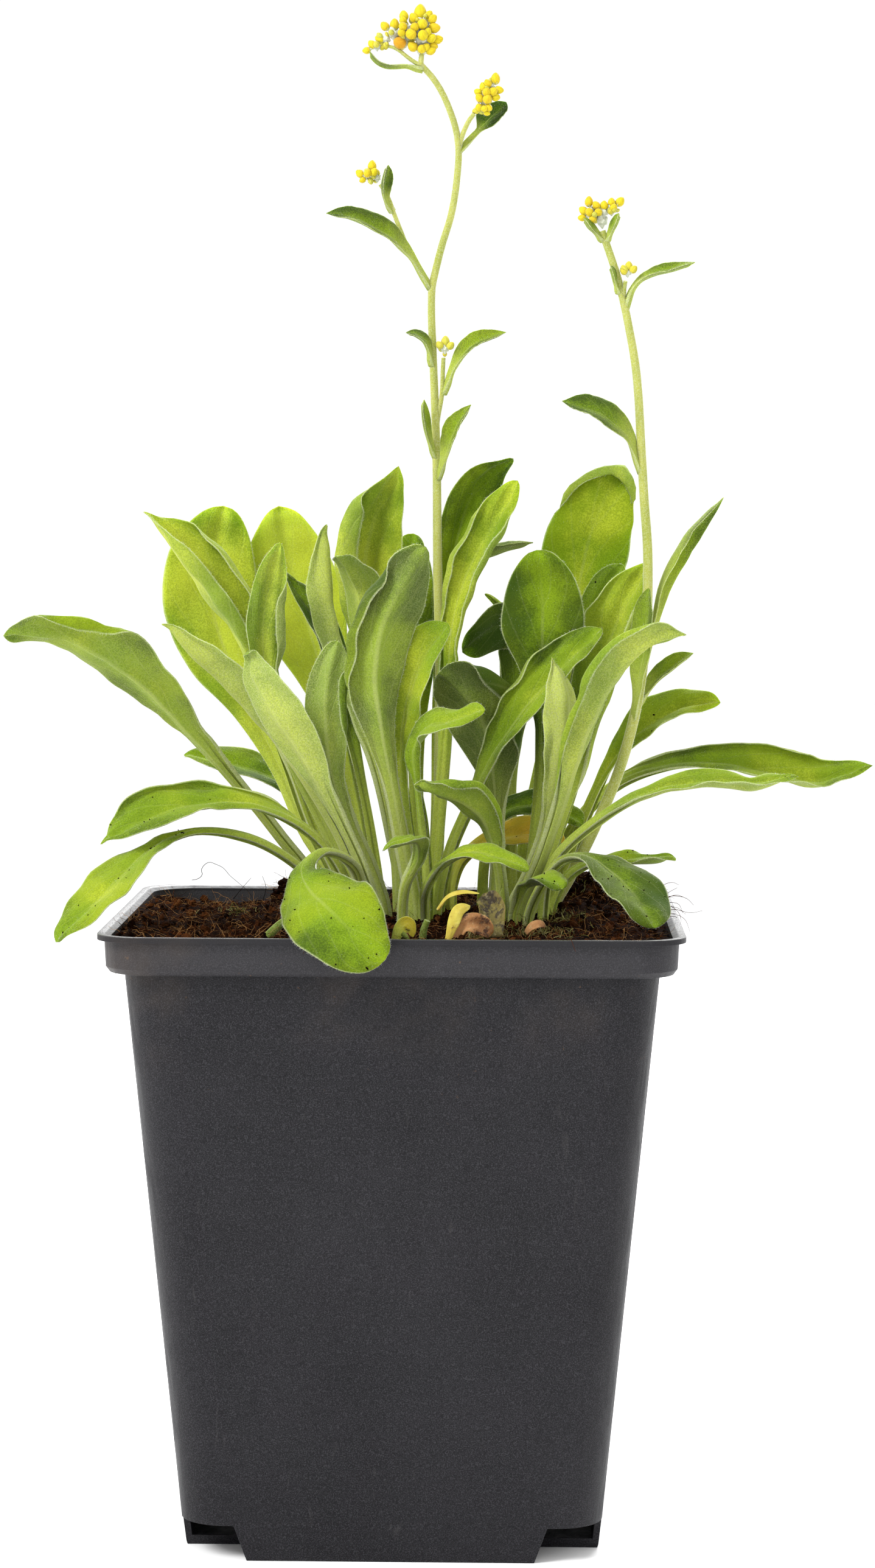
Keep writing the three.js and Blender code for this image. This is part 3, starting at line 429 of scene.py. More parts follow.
def build_pot():
    pot = pot_body()
    cutters = [drain_cutter(quarter) for quarter in range(4)]
    for cutter in cutters:
        cut = pot.modifiers.new(cutter.name, "BOOLEAN")
        cut.object = cutter
        cut.solver = "EXACT"
    soften = pot.modifiers.new("soften", "BEVEL")
    soften.width = 0.22 * MM
    soften.segments = 2
    soften.angle_limit = math.radians(35)
    soften.harden_normals = True
    bake(pot)
    for cutter in cutters:
        bpy.data.objects.remove(cutter)
    pot.data.shade_smooth()
    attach(pot, "root")
    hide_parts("pot")
    print("pot faces", len(pot.data.polygons))


build_pot()

# %% [markdown]
# The leaves are the look of this plant. Each packed leaf is a closed strip of rings, eight points to a
# ring. Reading five of them, the upper side from margin to margin, gives the leaf's real course through
# space, so the fine blade lies exactly where the solid is. The rings are found by walking from the foot of
# the stalk.

# %% Read a leaf from the frame
RING = 8
UPPER = 5


def neighbours(vertex):
    return {edge.other_vert(vertex) for edge in vertex.link_edges}


def leaf_rows(name):
    """Rows of five points over a leaf's upper side, from the foot of its stalk to its tip."""
    bm = bmesh.new()
    bm.from_mesh(NODES[name].data)
    bmesh.ops.remove_doubles(bm, verts=bm.verts, dist=0.001 * MM)
    foot = min((v for v in bm.verts if len(v.link_edges) == RING), key=lambda v: v.co.z)
    seen = {foot}
    rings = []
    ahead = neighbours(foot)
    while len(ahead) == RING:
        rings.append(ahead)
        seen |= ahead
        ahead = set().union(*(neighbours(v) for v in ahead)) - seen
    tip = ahead.pop()
    # the left margin has three neighbours in the next ring, and the upper side's point is the nearer one
    left = next(v for v in rings[0] if len(neighbours(v) & rings[1]) == 3)
    upper = min(neighbours(left) & rings[0], key=lambda v: (v.co - left.co).length)
    rows = []
    for index, ring in enumerate(rings):
        order = [left, upper]
        while len(order) < UPPER:
            order.append(((neighbours(order[-1]) & ring) - set(order)).pop())
        rows.append([v.co[:] for v in order])
        if index + 1 < len(rings):
            three = neighbours(left) & rings[index + 1]
            upper = (three & neighbours(order[1])).pop()
            left = next(v for v in three if len(neighbours(v) & three) == 2)
    rows.append([tip.co[:]] * UPPER)
    bm.free()
    return np.array(rows)


print("rows of one leaf", len(leaf_rows("leaf_big_centre")))

# %% [markdown]
# A packed leaf has about ten rings, and the fine one needs six times as many. Straight lines between the
# rings would show as kinks, so places between them are read from a smooth curve. A cubic curve with its
# slopes taken from the neighbours passes through every ring and hardly swings out between them.

# %% Helpers for smooth curves


def smooth(knots, values, at):
    """A smooth curve through the values at the knots, read at other places."""
    widths = np.diff(knots)
    tall = (slice(None),) + (None,) * (values.ndim - 1)
    slopes = np.diff(values, axis=0) / widths[tall]
    both = (widths[1:] + widths[:-1])[tall]
    inner = (slopes[:-1] * widths[1:][tall] + slopes[1:] * widths[:-1][tall]) / both
    tangents = np.concatenate([slopes[:1], inner, slopes[-1:]])
    span = np.clip(np.searchsorted(knots, at, side="right") - 1, 0, len(widths) - 1)
    t = ((at - knots[span]) / widths[span])[tall]
    width = widths[span][tall]
    return ((2 * t**3 - 3 * t**2 + 1) * values[span] + (t**3 - 2 * t**2 + t) * width * tangents[span]
            + (3 * t**2 - 2 * t**3) * values[span + 1] + (t**3 - t**2) * width * tangents[span + 1])


def distances(points):
    return np.concatenate([[0], np.cumsum(np.linalg.norm(np.diff(points, axis=0), axis=1))])


def read_along(at, knots, rows):
    """Rows of three numbers read between knots on straight lines."""
    return np.stack([np.interp(at, knots, rows[:, axis]) for axis in range(3)], axis=1)


def unit(vectors):
    """Rows of vectors brought to a length of one."""
    return vectors / np.maximum(np.linalg.norm(vectors, axis=-1, keepdims=True), 1e-12)


def soft_step(value, low, high):
    t = np.clip((value - low) / (high - low), 0, 1)
    return t * t * (3 - 2 * t)


print("halfway up a soft step", soft_step(0.5, 0.0, 1.0))

# %% [markdown]
# A blade starts as a flat grid whose x runs from margin to margin and whose y runs from stalk to tip. The
# grid's points are then laid over the leaf's course. Small forms come on top: a groove over the midrib,
# side veins that sink in a little, a puckered surface between them, and a margin that waves. Sculpting them
# would look as good on one leaf, but the plant has more than forty, and formulas give each one its own
# waves. The underside comes from a Solidify modifier, thick along the stalk and the midrib and thin at the
# margin.

# %% Blade
BLADE_COLUMNS = 18
ROLLED_COLUMNS = 26
BLADE_ROWS = 58
STALK_THICK = 1.45
BLADE_THICK = 0.5
MARGIN_THICK = 0.15
GROOVE = 0.4
RIB_WIDTH = 0.8
VEIN_RISE = 0.2
VEINS = 8
VEIN_SLANT = 7
WAVE_LENGTH = 1.9
PUCKER = 0.42
PUCKER_SCALE = 260
# the relief fades where half the blade is narrower than this, in mm
SOFT_HALF = 2.2
# rows stand closer together towards the tip by this power
CROWDING = 1.35
# the share of the length over which the stalk opens into the blade
OPENING = 0.22


def end_curve(rows, share):
    """Where a leaf is widest, and the power of the curve that closes its end."""
    half = np.linalg.norm(rows[:, -1] - rows[:, 0], axis=1)
    widest = min(int(np.argmax(half)), len(rows) - 3)
    onward = (share[widest + 1:-1] - share[widest]) / (1 - share[widest])
    powers = np.log(half[widest + 1:-1] / half[widest]) / np.log(1 - onward**2)
    return share[widest], float(np.median(powers))


class Blade:
    """The upper surface of one leaf as rows and columns of points, with their normals."""

    def __init__(self, rows, blade_from=0.4, seed=0, rows_count=BLADE_ROWS, columns=BLADE_COLUMNS, wave=0.22,
                 thin=1.0, rolls=(), longer=0.0, fold=None, tip_roll=None, most_pointed=1.1):
        centre = rows[:, UPPER // 2]
        knots = distances(centre)
        self.length = knots[-1]
        self.columns = columns
        self.thin = thin
        self.sides = np.linspace(-1, 1, columns + 1)
        even = np.linspace(0, 1, rows_count + 1)
        self.along = 1 - (1 - even) ** CROWDING
        self.points = self.lay_out(rows, centre, knots / self.length, most_pointed, longer)
        for roll in rolls:
            roll_margin(self, *roll)
        if fold:
            fold_tip(self, *fold)
        if tip_roll:
            roll_tip(self, *tip_roll)
        self.open = soft_step(self.along, blade_from, blade_from + OPENING)
        self.relief(seed, wave)

    def lay_out(self, rows, centre, share, most_pointed, longer):
        """The blade over its course, its end closed by a round curve rather than by the last few rings."""
        widest, power = end_curve(rows, share)
        power = min(max(power, 0.4), most_pointed)
        centre = centre.copy()
        centre[-1] += (centre[-1] - centre[-2]) * longer / (share[-1] - share[-2])
        share = distances(centre)
        share /= share[-1]
        widest /= 1 + longer

        def closing(at):
            onward = np.clip((at - widest) / (1 - widest), 0, 1)
            return (1 - onward**2) ** power

        reach = rows - centre[:, None]
        reach[:-1] /= closing(share[:-1])[:, None, None]
        reach[-1] = reach[-2]
        line = smooth(share, centre, self.along)
        wide = smooth(share, reach, self.along) * closing(self.along)[:, None, None]
        across = smooth(np.linspace(-1, 1, UPPER), wide.swapaxes(0, 1), self.sides)
        return across.swapaxes(0, 1) + line[:, None]

    def normals(self):
        ahead = np.gradient(self.points, axis=0)
        aside = np.gradient(self.points, axis=1)
        ahead[-1] = ahead[-2]
        aside[-1] = aside[-2]
        return unit(np.cross(aside, ahead))

    def relief(self, seed, wave):
        up = self.normals()
        half = np.linalg.norm(self.points[:, -1] - self.points[:, 0], axis=1) / 2 / MM
        side = self.sides[None, :]
        along = self.along[:, None]
        flat = np.abs(side) * half[:, None]
        length = self.length / MM
        groove = -GROOVE * np.exp(-(flat / RIB_WIDTH) ** 2)
        slant = along * VEINS - flat / length * VEIN_SLANT + 0.25 * np.sin(seed * 3 + side * 2)
        veins = VEIN_RISE * (np.abs(np.sin(math.pi * slant)) ** 0.6 - 0.6) * soft_step(flat, 0.5, 1.6)
        waving = wave * side**2 * (np.sin(along * length / WAVE_LENGTH + seed + side * 2.1)
                                   + 0.6 * np.sin(along * length / (WAVE_LENGTH / 2) + seed * 2.3 - side))
        own = Vector((seed, 0, 0))
        pucker = np.array([[noise.noise(Vector(point) * PUCKER_SCALE + own) for point in row]
                           for row in self.points])
        lift = (groove + veins + waving + PUCKER * pucker) * self.open[:, None] * MM
        lift *= np.minimum(1, half / SOFT_HALF)[:, None]
        lift[-1] = lift[-1].mean()
        self.points = self.points + up * lift[:, :, None]

    def place(self, along, side):
        """The row and column of a place given by its share along the leaf and its side from -1 to 1."""
        return int(np.searchsorted(self.along, along)), round((side + 1) / 2 * self.columns)

    def thickness(self):
        """The share of the stalk's thickness that each point has below it."""
        side = np.abs(self.sides)[None, :]
        blade = BLADE_THICK + (MARGIN_THICK - BLADE_THICK) * side**4 + 0.45 * np.exp(-(side / 0.09) ** 2)
        stalk = STALK_THICK * (1 - 0.55 * side**2)
        closing = 1 - 0.75 * soft_step(self.along, 0.9, 1.0)[:, None]
        return ((stalk + (blade - stalk) * self.open[:, None]) * closing) / STALK_THICK * self.thin

    def mesh(self, name, materials, tone):
        bm = bmesh.new()
        bm.loops.layers.uv.new("UVMap")
        rows = len(self.along) - 1
        bmesh.ops.create_grid(bm, x_segments=self.columns, y_segments=rows, size=1.0, calc_uvs=True)
        bm.verts.ensure_lookup_table()
        weights = self.thickness()
        share = bm.verts.layers.deform.verify()
        for vertex in bm.verts:
            column = round((vertex.co.x + 1) / 2 * self.columns)
            row = round((vertex.co.y + 1) / 2 * rows)
            vertex.co = self.points[row, column]
            vertex[share][0] = float(weights[row, column])
        for face in bm.faces:
            for loop in face.loops:
                loop[bm.loops.layers.uv.active].uv.y **= 1 / CROWDING
        bmesh.ops.remove_doubles(bm, verts=bm.verts, dist=0.002 * MM)
        blade = new_object(name, bm, materials)
        blade.vertex_groups.new(name="thickness")
        shell = blade.modifiers.new("thickness", "SOLIDIFY")
        shell.thickness = STALK_THICK * MM
        shell.offset = -1
        shell.vertex_group = "thickness"
        shell.material_offset = 1
        shell.material_offset_rim = 1
        bake(blade)
        blade.vertex_groups.clear()
        give_tone(blade, tone)
        return blade


def give_tone(thing, tone):
    """Stores brightness, which is painted light and shade, warmth, which is painted glow and some real
    yellowing, and felt as a colour on every point, for the material to read.
    """
    layer = thing.data.color_attributes.new("tone", "FLOAT_COLOR", "POINT")
    layer.data.foreach_set("color", np.tile([*tone, 1.0], len(thing.data.vertices)))


print("cells of a blade", BLADE_COLUMNS, "by", BLADE_ROWS)

# %% [markdown]
# Many margins of this plant are rolled over, which shows as a pale band of underside along a leaf. A roll
# could be a second strip of mesh, but then it would have a seam. Here the outer columns of the same grid
# are bent round a small circle and carry on straight, so the rolled part is the blade's own skin. The roll
# fades before the tip, where there is no room for it.

# %% Rolled margins
# the share of a flap's width that is bent, and the rest of it is straight
ROLL_SHARE = 0.45
ROLL_GROWTH = 0.2
ROLL_FADE = 0.14


def roll_margin(blade, side, hinge, reach, flap, start, degrees):
    """Rolls one margin over from a place along the leaf to its tip, towards the upper side if degrees are
    positive. The columns beyond the hinge make the flap, whose width is a share of half the blade. The line
    of the roll starts at the margin of the solid and comes in to the given reach at the tip."""
    share = blade.sides * side
    order = np.argsort(share)
    up = blade.normals()
    growing = soft_step(blade.along, start, start + ROLL_GROWTH)
    amounts = growing * (1 - soft_step(blade.along, 1 - ROLL_FADE, 1))
    limits = 1 - (1 - reach) * soft_step(blade.along, start, 1)
    beyond = np.clip((share - hinge) / (1 - hinge), 0, 1)
    for row, (amount, limit) in enumerate(zip(amounts, limits)):
        line = blade.points[row, order]
        half = np.linalg.norm(line[-1] - line[len(line) // 2])
        if amount < 0.01 or half < 0.001 * MM:
            continue
        out = (line[-1] - line[-2]) / np.linalg.norm(line[-1] - line[-2])
        spread = np.minimum(1, share / hinge) * limit
        wanted = np.where(share > 0, share + (spread - share) * amount, share)
        full = math.radians(abs(degrees)) * amount
        turn = full * np.minimum(1, beyond / ROLL_SHARE)
        length = flap * half * amount
        radius = length * ROLL_SHARE / full
        straight = np.maximum(0, beyond - ROLL_SHARE) * length
        outward = radius * np.sin(turn) + straight * math.cos(full)
        upward = (radius * (1 - np.cos(turn)) + straight * math.sin(full)) * math.copysign(1, degrees)
        blade.points[row] = read_along(wanted, share[order], line)
        blade.points[row] += out * outward[:, None] + up[row, order[-1]] * upward[:, None]


print("columns of a rolled leaf", ROLLED_COLUMNS, "and of a plain one", BLADE_COLUMNS)

# %% [markdown]
# One broad leaf at the back carries its tip rolled over as a whole, like a turned page. The rim of the tip
# is followed by its bearing from the middle of the blade, so one flap goes round all of it.

# %% Rolled tip
FLAP_ENDS = ((0.02, 0.12), (0.6, 0.74))
FLAP_ROWS = 4


def roll_tip(blade, start, share, left, right, degrees):
    """Rolls the rim of the tip over. Beyond the start the blade is stretched away from its middle, and the
    rim, a share of it, comes back as a flap with a width in mm at the left and at the right end."""
    first = int(np.searchsorted(blade.along, start))
    part = blade.points[first:]
    middle = part[0, blade.columns // 2]
    aside = part[0, -1] - part[0, 0]
    aside /= np.linalg.norm(aside)
    up = blade.normals()[first, blade.columns // 2]
    ahead = np.cross(up, aside)
    reach = part - middle
    x, y, z = reach @ aside, reach @ ahead, reach @ up
    distance = np.maximum(np.hypot(x, y), 1e-9)
    bearing = np.arctan2(x, y)
    rim_bearing = np.concatenate([bearing[:, 0], bearing[::-1, -1]])
    rim_distance = np.concatenate([distance[:, 0], distance[::-1, -1]])
    order = np.argsort(rim_bearing)
    rim = np.interp(bearing, rim_bearing[order], rim_distance[order])
    spread = np.clip(distance / rim / (1 - share), 0, 1)
    beyond = np.clip((distance / rim - 1 + share) / share, 0, 1)
    along_rim = np.clip(bearing / math.pi + 0.5, 0, 1)
    length = (left + (right - left) * along_rim) * MM
    rising, falling = FLAP_ENDS
    length = length * soft_step(along_rim, *rising) * (1 - soft_step(along_rim, *falling))
    full = math.radians(degrees)
    radius = length * ROLL_SHARE / full
    turn = full * np.minimum(1, beyond / ROLL_SHARE)
    straight = np.maximum(0, beyond - ROLL_SHARE) * length
    moved = rim * spread + radius * np.sin(turn) + straight * math.cos(full)
    raised = z + radius * (1 - np.cos(turn)) + straight * math.sin(full)
    gentle = soft_step(np.arange(len(part)), 0, FLAP_ROWS)[:, None]
    moved = distance + (moved - distance) * gentle
    raised = z + (raised - z) * gentle
    unit_x, unit_y = x / distance, y / distance
    blade.points[first:] = (middle + aside * (unit_x * moved)[:, :, None]
                            + ahead * (unit_y * moved)[:, :, None] + up * raised[:, :, None])


print("the flap grows over", FLAP_ROWS, "rows")

# %% [markdown]
# Another way to end is a fold: the tip bends over a straight line between two places of the blade. What
# lies beyond the line goes round a circle of the given radius, and what lies before it stays.

# %% Folded tip


def fold_tip(blade, first, second, degrees, radius):
    """Folds the tip over a line between two places, towards the upper side if degrees are positive."""
    near, far = blade.points[blade.place(*first)], blade.points[blade.place(*second)]
    axis = (far - near) / np.linalg.norm(far - near)
    up = blade.normals()[blade.place((first[0] + second[0]) / 2, (first[1] + second[1]) / 2)]
    up = up - axis * np.dot(up, axis)
    up *= math.copysign(1, degrees) / np.linalg.norm(up)
    out = np.cross(axis, up)
    out *= math.copysign(1, np.dot(out, blade.points[-1, 0] - near))
    reach = blade.points - near
    past, height = reach @ out, reach @ up
    full = math.radians(abs(degrees))
    turn = np.clip(past / (radius * MM), 0, full)
    straight = np.maximum(0, past - radius * MM * full)
    outward = (radius * MM - height) * np.sin(turn) + straight * math.cos(full) + np.minimum(past, 0)
    upward = radius * MM - (radius * MM - height) * np.cos(turn) + straight * math.sin(full)
    beyond = (blade.along > min(first[0], second[0]) - 0.1)[:, None]
    shift = out * (outward - past)[:, :, None] + up * (upward - height)[:, :, None]
    blade.points = blade.points + np.where(beyond, 1, 0)[:, :, None] * shift


print("a fold of 110 degrees round 0.8 mm takes mm", round(math.radians(110) * 0.8, 2))

# %% [markdown]
# Leaf tissue is a soft green with three things on top. Light from behind makes the thin blade glow yellow,
# so the shader gets some scattering under its skin. Short white felt covers both sides, more on the
# underside, which a fine pale grain and a sheen give. And the midrib, the side veins, the rim and the stalk
# are paler, which the blade's own UV map can place: x is the way across, y the way along. Soft mottling and
# a grain of about a quarter of a millimetre make the skin. Light and shade are also painted into the colour:
# each leaf is painted brighter and yellower where light shines through it and deeper where it is shaded,
# and the small pillows of the skin are painted lighter on top and darker in their hollows. A material for
# each leaf would be forty materials, so each leaf's painted brightness, its warmth, which is painted glow and
# age, and its felt are three numbers stored on its points, and all green leaves share two.

# %% Leaf finishes
CLOUD_GRAIN = 75
MOTTLE_GRAIN = 420
SKIN_GRAIN = 4200
FELT_GRAIN = 6000
GREENS = [colour(44, 78, 2), colour(130, 166, 18), colour(206, 224, 64), colour(222, 220, 30)]
YELLOWS = [colour(150, 146, 24), colour(196, 188, 52), colour(222, 208, 74), colour(228, 150, 20)]
FELT = colour(208, 216, 140)
RIM_FELT = colour(226, 232, 184)
STALK = colour(200, 214, 92)


def vein_lines(tree, middle, along, wander):
    """Side veins as lines that leave the midrib on a slant: 1 on a vein, 0 between."""
    slant = calc(tree, "SUBTRACT", calc(tree, "MULTIPLY", along, VEINS), calc(tree, "MULTIPLY", middle, 4.2))
    slant = calc(tree, "ADD", slant, calc(tree, "MULTIPLY", wander, 0.9))
    off = calc(tree, "ABSOLUTE", calc(tree, "SUBTRACT", calc(tree, "FRACT", slant), 0.5))
    return step(tree, off, 0.42, 0.5)


def leaf_finish(name, felt_gain, least_felt, rib_strength, greens):
    deep, medium, bright_green, warm = greens
    material, tree, shader, place = new_material(
        name, 0.72, Sheen_Weight=0.1, Sheen_Roughness=0.4, Sheen_Tint=(1.0, 1.0, 0.8, 1),
        Subsurface_Weight=0.35, Subsurface_Radius=(0.8, 1.0, 0.08), Subsurface_Scale=0.0006,
        Specular_IOR_Level=0.06)
    spot = place.outputs["Object"]
    split = add(tree, "ShaderNodeSeparateXYZ", {"Vector": place.outputs["UV"]})
    middle = calc(tree, "ABSOLUTE", calc(tree, "SUBTRACT", split.outputs["X"], 0.5))
    along = split.outputs["Y"]
    tone = stored_tone(tree)
    cloud = grain(tree, spot, CLOUD_GRAIN, 2, 0.5)
    # the stored brightness is painted light and shade: high where light shines through the leaf, low where it
    # is shaded
    light_and_mottle = calc(tree, "ADD", tone["Red"], step(tree, cloud, 0.3, 0.7, -0.16, 0.16))
    light_and_mottle = calc(tree, "ADD", light_and_mottle, step(tree, middle, 0.0, 0.45, 0.12, -0.12))
    pillow = grain(tree, spot, SKIN_GRAIN, 1, 0.5)
    mottle = grain(tree, spot, MOTTLE_GRAIN, 2, 0.6)
    fine = grain(tree, spot, FELT_GRAIN, 2, 0.6)
    # painted light and shade: lighter on the raised pillows of the bump, darker in their hollows
    light_and_mottle = calc(tree, "ADD", light_and_mottle, step(tree, pillow, 0.3, 0.7, -0.05, 0.05))
    light_and_mottle = calc(tree, "ADD", light_and_mottle, step(tree, mottle, 0.3, 0.7, -0.05, 0.05))
    base = mix(tree, step(tree, light_and_mottle, 0.0, 0.5), deep, medium)
    base = mix(tree, step(tree, light_and_mottle, 0.5, 1.0), base, bright_green)
    # warmth is partly a painted yellow glow of light through the leaf and partly real yellowing
    glow_and_yellowing = calc(tree, "MULTIPLY", tone["Green"], step(tree, cloud, 0.35, 0.65, 0.1, 0.6))
    base = mix(tree, glow_and_yellowing, base, warm)
    veins = vein_lines(tree, middle, along, cloud)
    rib = calc(tree, "MULTIPLY", step(tree, middle, 0.03, 0.006), step(tree, along, 0.97, 0.55))
    lines = calc(tree, "MAXIMUM", rib, calc(tree, "MULTIPLY", veins, 0.28))
    base = mix(tree, calc(tree, "MULTIPLY", step(tree, along, 0.6, 0.3), 0.8), base, STALK)
    amount = calc(tree, "MAXIMUM", tone["Blue"], least_felt)
    felt = calc(tree, "MULTIPLY", amount, step(tree, fine, 0.38, 0.66, 0.4 * felt_gain, felt_gain))
    base = mix(tree, felt, base, FELT)
    # painted shade: deep green in the hollows between the pillows of the bump
    base = mix(tree, step(tree, pillow, 0.65, 0.35, 0.0, 0.18), base, deep)
    base = mix(tree, calc(tree, "MULTIPLY", lines, rib_strength), base, FELT)
    edge = calc(tree, "MULTIPLY", step(tree, middle, 0.478, 0.498), step(tree, fine, 0.35, 0.6, 0.2, 0.6))
    base = mix(tree, edge, base, RIM_FELT)
    tree.links.new(base, shader.inputs["Base Color"])
    relief = calc(tree, "ADD", fine, calc(tree, "MULTIPLY", pillow, 0.9))
    relief = calc(tree, "SUBTRACT", relief, calc(tree, "MULTIPLY", veins, 0.6))
    bump(tree, shader, relief, 0.6, 0.00012)
    return material


upper_leaf = leaf_finish("leaf_upper_side", 0.2, 0.1, 0.25, GREENS)
under_leaf = leaf_finish("leaf_underside", 0.62, 0.5, 0.4, GREENS)
yellow_leaf = leaf_finish("leaf_yellowing", 0.25, 0.2, 0.3, YELLOWS)
print("leaf finish nodes", len(upper_leaf.node_tree.nodes))

# %% [markdown]
# Brightness, warmth and felt for each leaf come from looking at the plant. Brightness is painted light and
# shade, and warmth is a painted glow with some real yellowing: the leaves that the light shines through are
# painted bright and yellow, those in the middle are painted shaded and deep, and those seen from below are
# pale. Random tones would be shorter to write, but then the plant would lose its painted light side and its
# dark heart.

# %% Leaf tones
TONES = {
    # brightness as painted light and shade, warmth as painted glow and yellowing, felt
    "leaf_front_left_long": (0.42, 0.3, 0.3),
    "leaf_left_channelled": (0.68, 0.4, 0.5),
    "leaf_back_left_broad": (0.86, 0.35, 0.4),
    "leaf_left_small": (0.7, 0.1, 1.3),
    "leaf_back_yellow": (1.2, 0.45, 0.4),
    "leaf_back_dark_strip": (0.15, 0.1, 0.4),
    "leaf_pale_upright": (0.66, 0.1, 1.2),
    "leaf_front_left_spoon": (0.6, 0.15, 1.2),
    "leaf_front_spoon": (0.5, 0.1, 0.9),
    "leaf_left_narrow": (0.7, 0.2, 1.2),
    "leaf_top_centre": (0.74, 0.3, 0.5),
    "leaf_centre_folded": (0.5, 0.2, 0.7),
    "leaf_big_centre": (0.22, 0.2, 0.5),
    "leaf_centre_bright": (0.6, 0.5, 0.5),
    "leaf_back_centre": (0.38, 0.3, 0.3),
    "leaf_beside_stem_dark": (0.34, 0.3, 0.2),
    "leaf_beside_stem_light": (0.66, 0.3, 0.4),
    "leaf_round_spoon": (0.18, 0.15, 0.2),
    "leaf_tall_back_broad": (0.64, 0.35, 0.1),
    "leaf_back_right": (0.5, 0.35, 0.5),
    "leaf_right_lance": (0.5, 0.35, 0.6),
    "leaf_front_right_arch": (0.62, 0.2, 0.9),
    "leaf_pale_triangle": (0.95, 0.1, 1.5),
    "leaf_crossing": (0.38, 0.2, 0.4),
    "leaf_dark_folded": (0.12, 0.2, 0.3),
    "leaf_dark_arch": (0.06, 0.1, 0.3),
    "leaf_back_small": (0.25, 0.2, 0.5),
    "leaf_right_mid": (0.5, 0.4, 0.4),
    "leaf_right_long": (0.42, 0.3, 0.4),
    "leaf_right_low": (0.5, 0.3, 0.8),
    "leaf_front_right_droop": (0.0, 0.1, 0.3),
    "leaf_front_hanging": (0.4, 0.35, 0.2),
    "leaf_small_light": (0.36, 0.2, 0.5),
    "leaf_left_arch": (0.5, 0.4, 0.45),
    "leaf_left_hanging": (0.48, 0.45, 0.45),
    "leaf_low_back_left": (0.3, 0.2, 0.3),
    "leaf_dark_oblong": (0.2, 0.1, 0.3),
    "leaf_yellowing": (0.6, 0.9, 0.3),
}
USUAL_TONE = (0.45, 0.3, 0.45)
print("leaves with a tone of their own", len(TONES))

# %% [markdown]
# Which margins roll and which tips fold was read from the plant, leaf by leaf. A side of -1 is the left
# margin of the blade seen on its upper side with the tip up, and 1 is the right one. Negative degrees roll
# downwards. Most leaves end in a round tip, and a few are named here because they are pointed.

# %% Leaves
ROLLS = {
    # side, hinge, reach, width of the flap, start, degrees
    "leaf_top_centre": [(-1, 0.6, 1.0, 0.75, 0.5, 158)],
    "leaf_big_centre": [(1, 0.65, 0.4, 0.6, 0.5, -140)],
    "leaf_dark_folded": [(-1, 0.68, 1.0, 0.65, 0.5, -150)],
    "leaf_beside_stem_light": [(-1, 0.62, 0.85, 0.6, 0.35, 140), (1, 0.7, 0.85, 0.4, 0.35, 120)],
    "leaf_beside_stem_dark": [(1, 0.7, 0.95, 0.5, 0.4, 130)],
    "leaf_left_channelled": [(-1, 0.7, 0.9, 0.5, 0.3, 110), (1, 0.7, 0.95, 0.5, 0.3, 120)],
    "leaf_front_left_long": [(-1, 0.7, 0.95, 0.5, 0.68, -150)],
    "leaf_left_small": [(1, 0.65, 0.9, 0.7, 0.5, 150)],
    "leaf_front_spoon": [(-1, 0.7, 0.85, 0.6, 0.55, -150)],
    "leaf_back_right": [(1, 0.72, 1.0, 0.45, 0.4, 130)],
    "leaf_right_lance": [(-1, 0.75, 1.0, 0.4, 0.3, 105), (1, 0.75, 1.0, 0.4, 0.3, 115)],
    "leaf_front_right_arch": [(1, 0.75, 1.0, 0.4, 0.3, -130)],
    "leaf_crossing": [(-1, 0.75, 0.95, 0.45, 0.4, 125)],
    "leaf_right_long": [(-1, 0.75, 1.0, 0.4, 0.3, 115)],
    "leaf_front_twisted": [(-1, 0.75, 1.0, 0.4, 0.4, -110)],
    "leaf_left_arch": [(1, 0.78, 1.0, 0.35, 0.3, 110)],
    "leaf_centre_bright": [(-1, 0.75, 1.0, 0.4, 0.45, 120)],
    "leaf_back_yellow": [(-1, 0.8, 1.0, 0.3, 0.6, 110)],
    "leaf_left_narrow": [(1, 0.75, 1.0, 0.4, 0.3, -110)],
}
FOLDS = {
    # extra length, one end of the line and the other, degrees, radius
    "leaf_front_left_spoon": (0.03, (0.97, -1), (0.95, 1), -110, 0.8),
}
TIP_ROLLS = {
    # start, share of the blade, width at the left and at the right end, degrees
    "leaf_tall_back_broad": (0.84, 0.3, 0.9, 4.2, 160),
}
POINTED = {"leaf_front_left_long", "leaf_left_channelled", "leaf_left_narrow", "leaf_right_long",
           "leaf_right_low", "leaf_front_right_arch", "leaf_pale_triangle", "leaf_right_mid",
           "leaf_right_small", "leaf_top_centre"}
MOST_ROUND = 0.5
MOST_POINTED = 1.1


def build_leaf(name, seed):
    longer, *fold = FOLDS.get(name, (0,))
    blade = Blade(leaf_rows(name), seed=seed, columns=ROLLED_COLUMNS if name in ROLLS else BLADE_COLUMNS,
                  rolls=ROLLS.get(name, ()), longer=longer, fold=fold, tip_roll=TIP_ROLLS.get(name),
                  most_pointed=MOST_POINTED if name in POINTED else MOST_ROUND)
    yellowing = name == "leaf_yellowing"
    materials = [yellow_leaf, yellow_leaf] if yellowing else [upper_leaf, under_leaf]
    piece = blade.mesh(name.replace("leaf_", "blade_"), materials, TONES.get(name, USUAL_TONE))
    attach(piece, "root")
    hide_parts(name)
    return blade


leaf_names = sorted(name for name in NODES if name.startswith("leaf_"))
leaves = {name: build_leaf(name, number * 1.7) for number, name in enumerate(leaf_names)}
print("leaves", len(leaves))

# %% [markdown]
# Many small things on this plant repeat: hairs, crumbs, buds. One small template, made once with an
# operator, is copied to hundreds of places in one mesh. The copies are placed with arrays, which takes a
# moment where adding them one by one would take minutes.

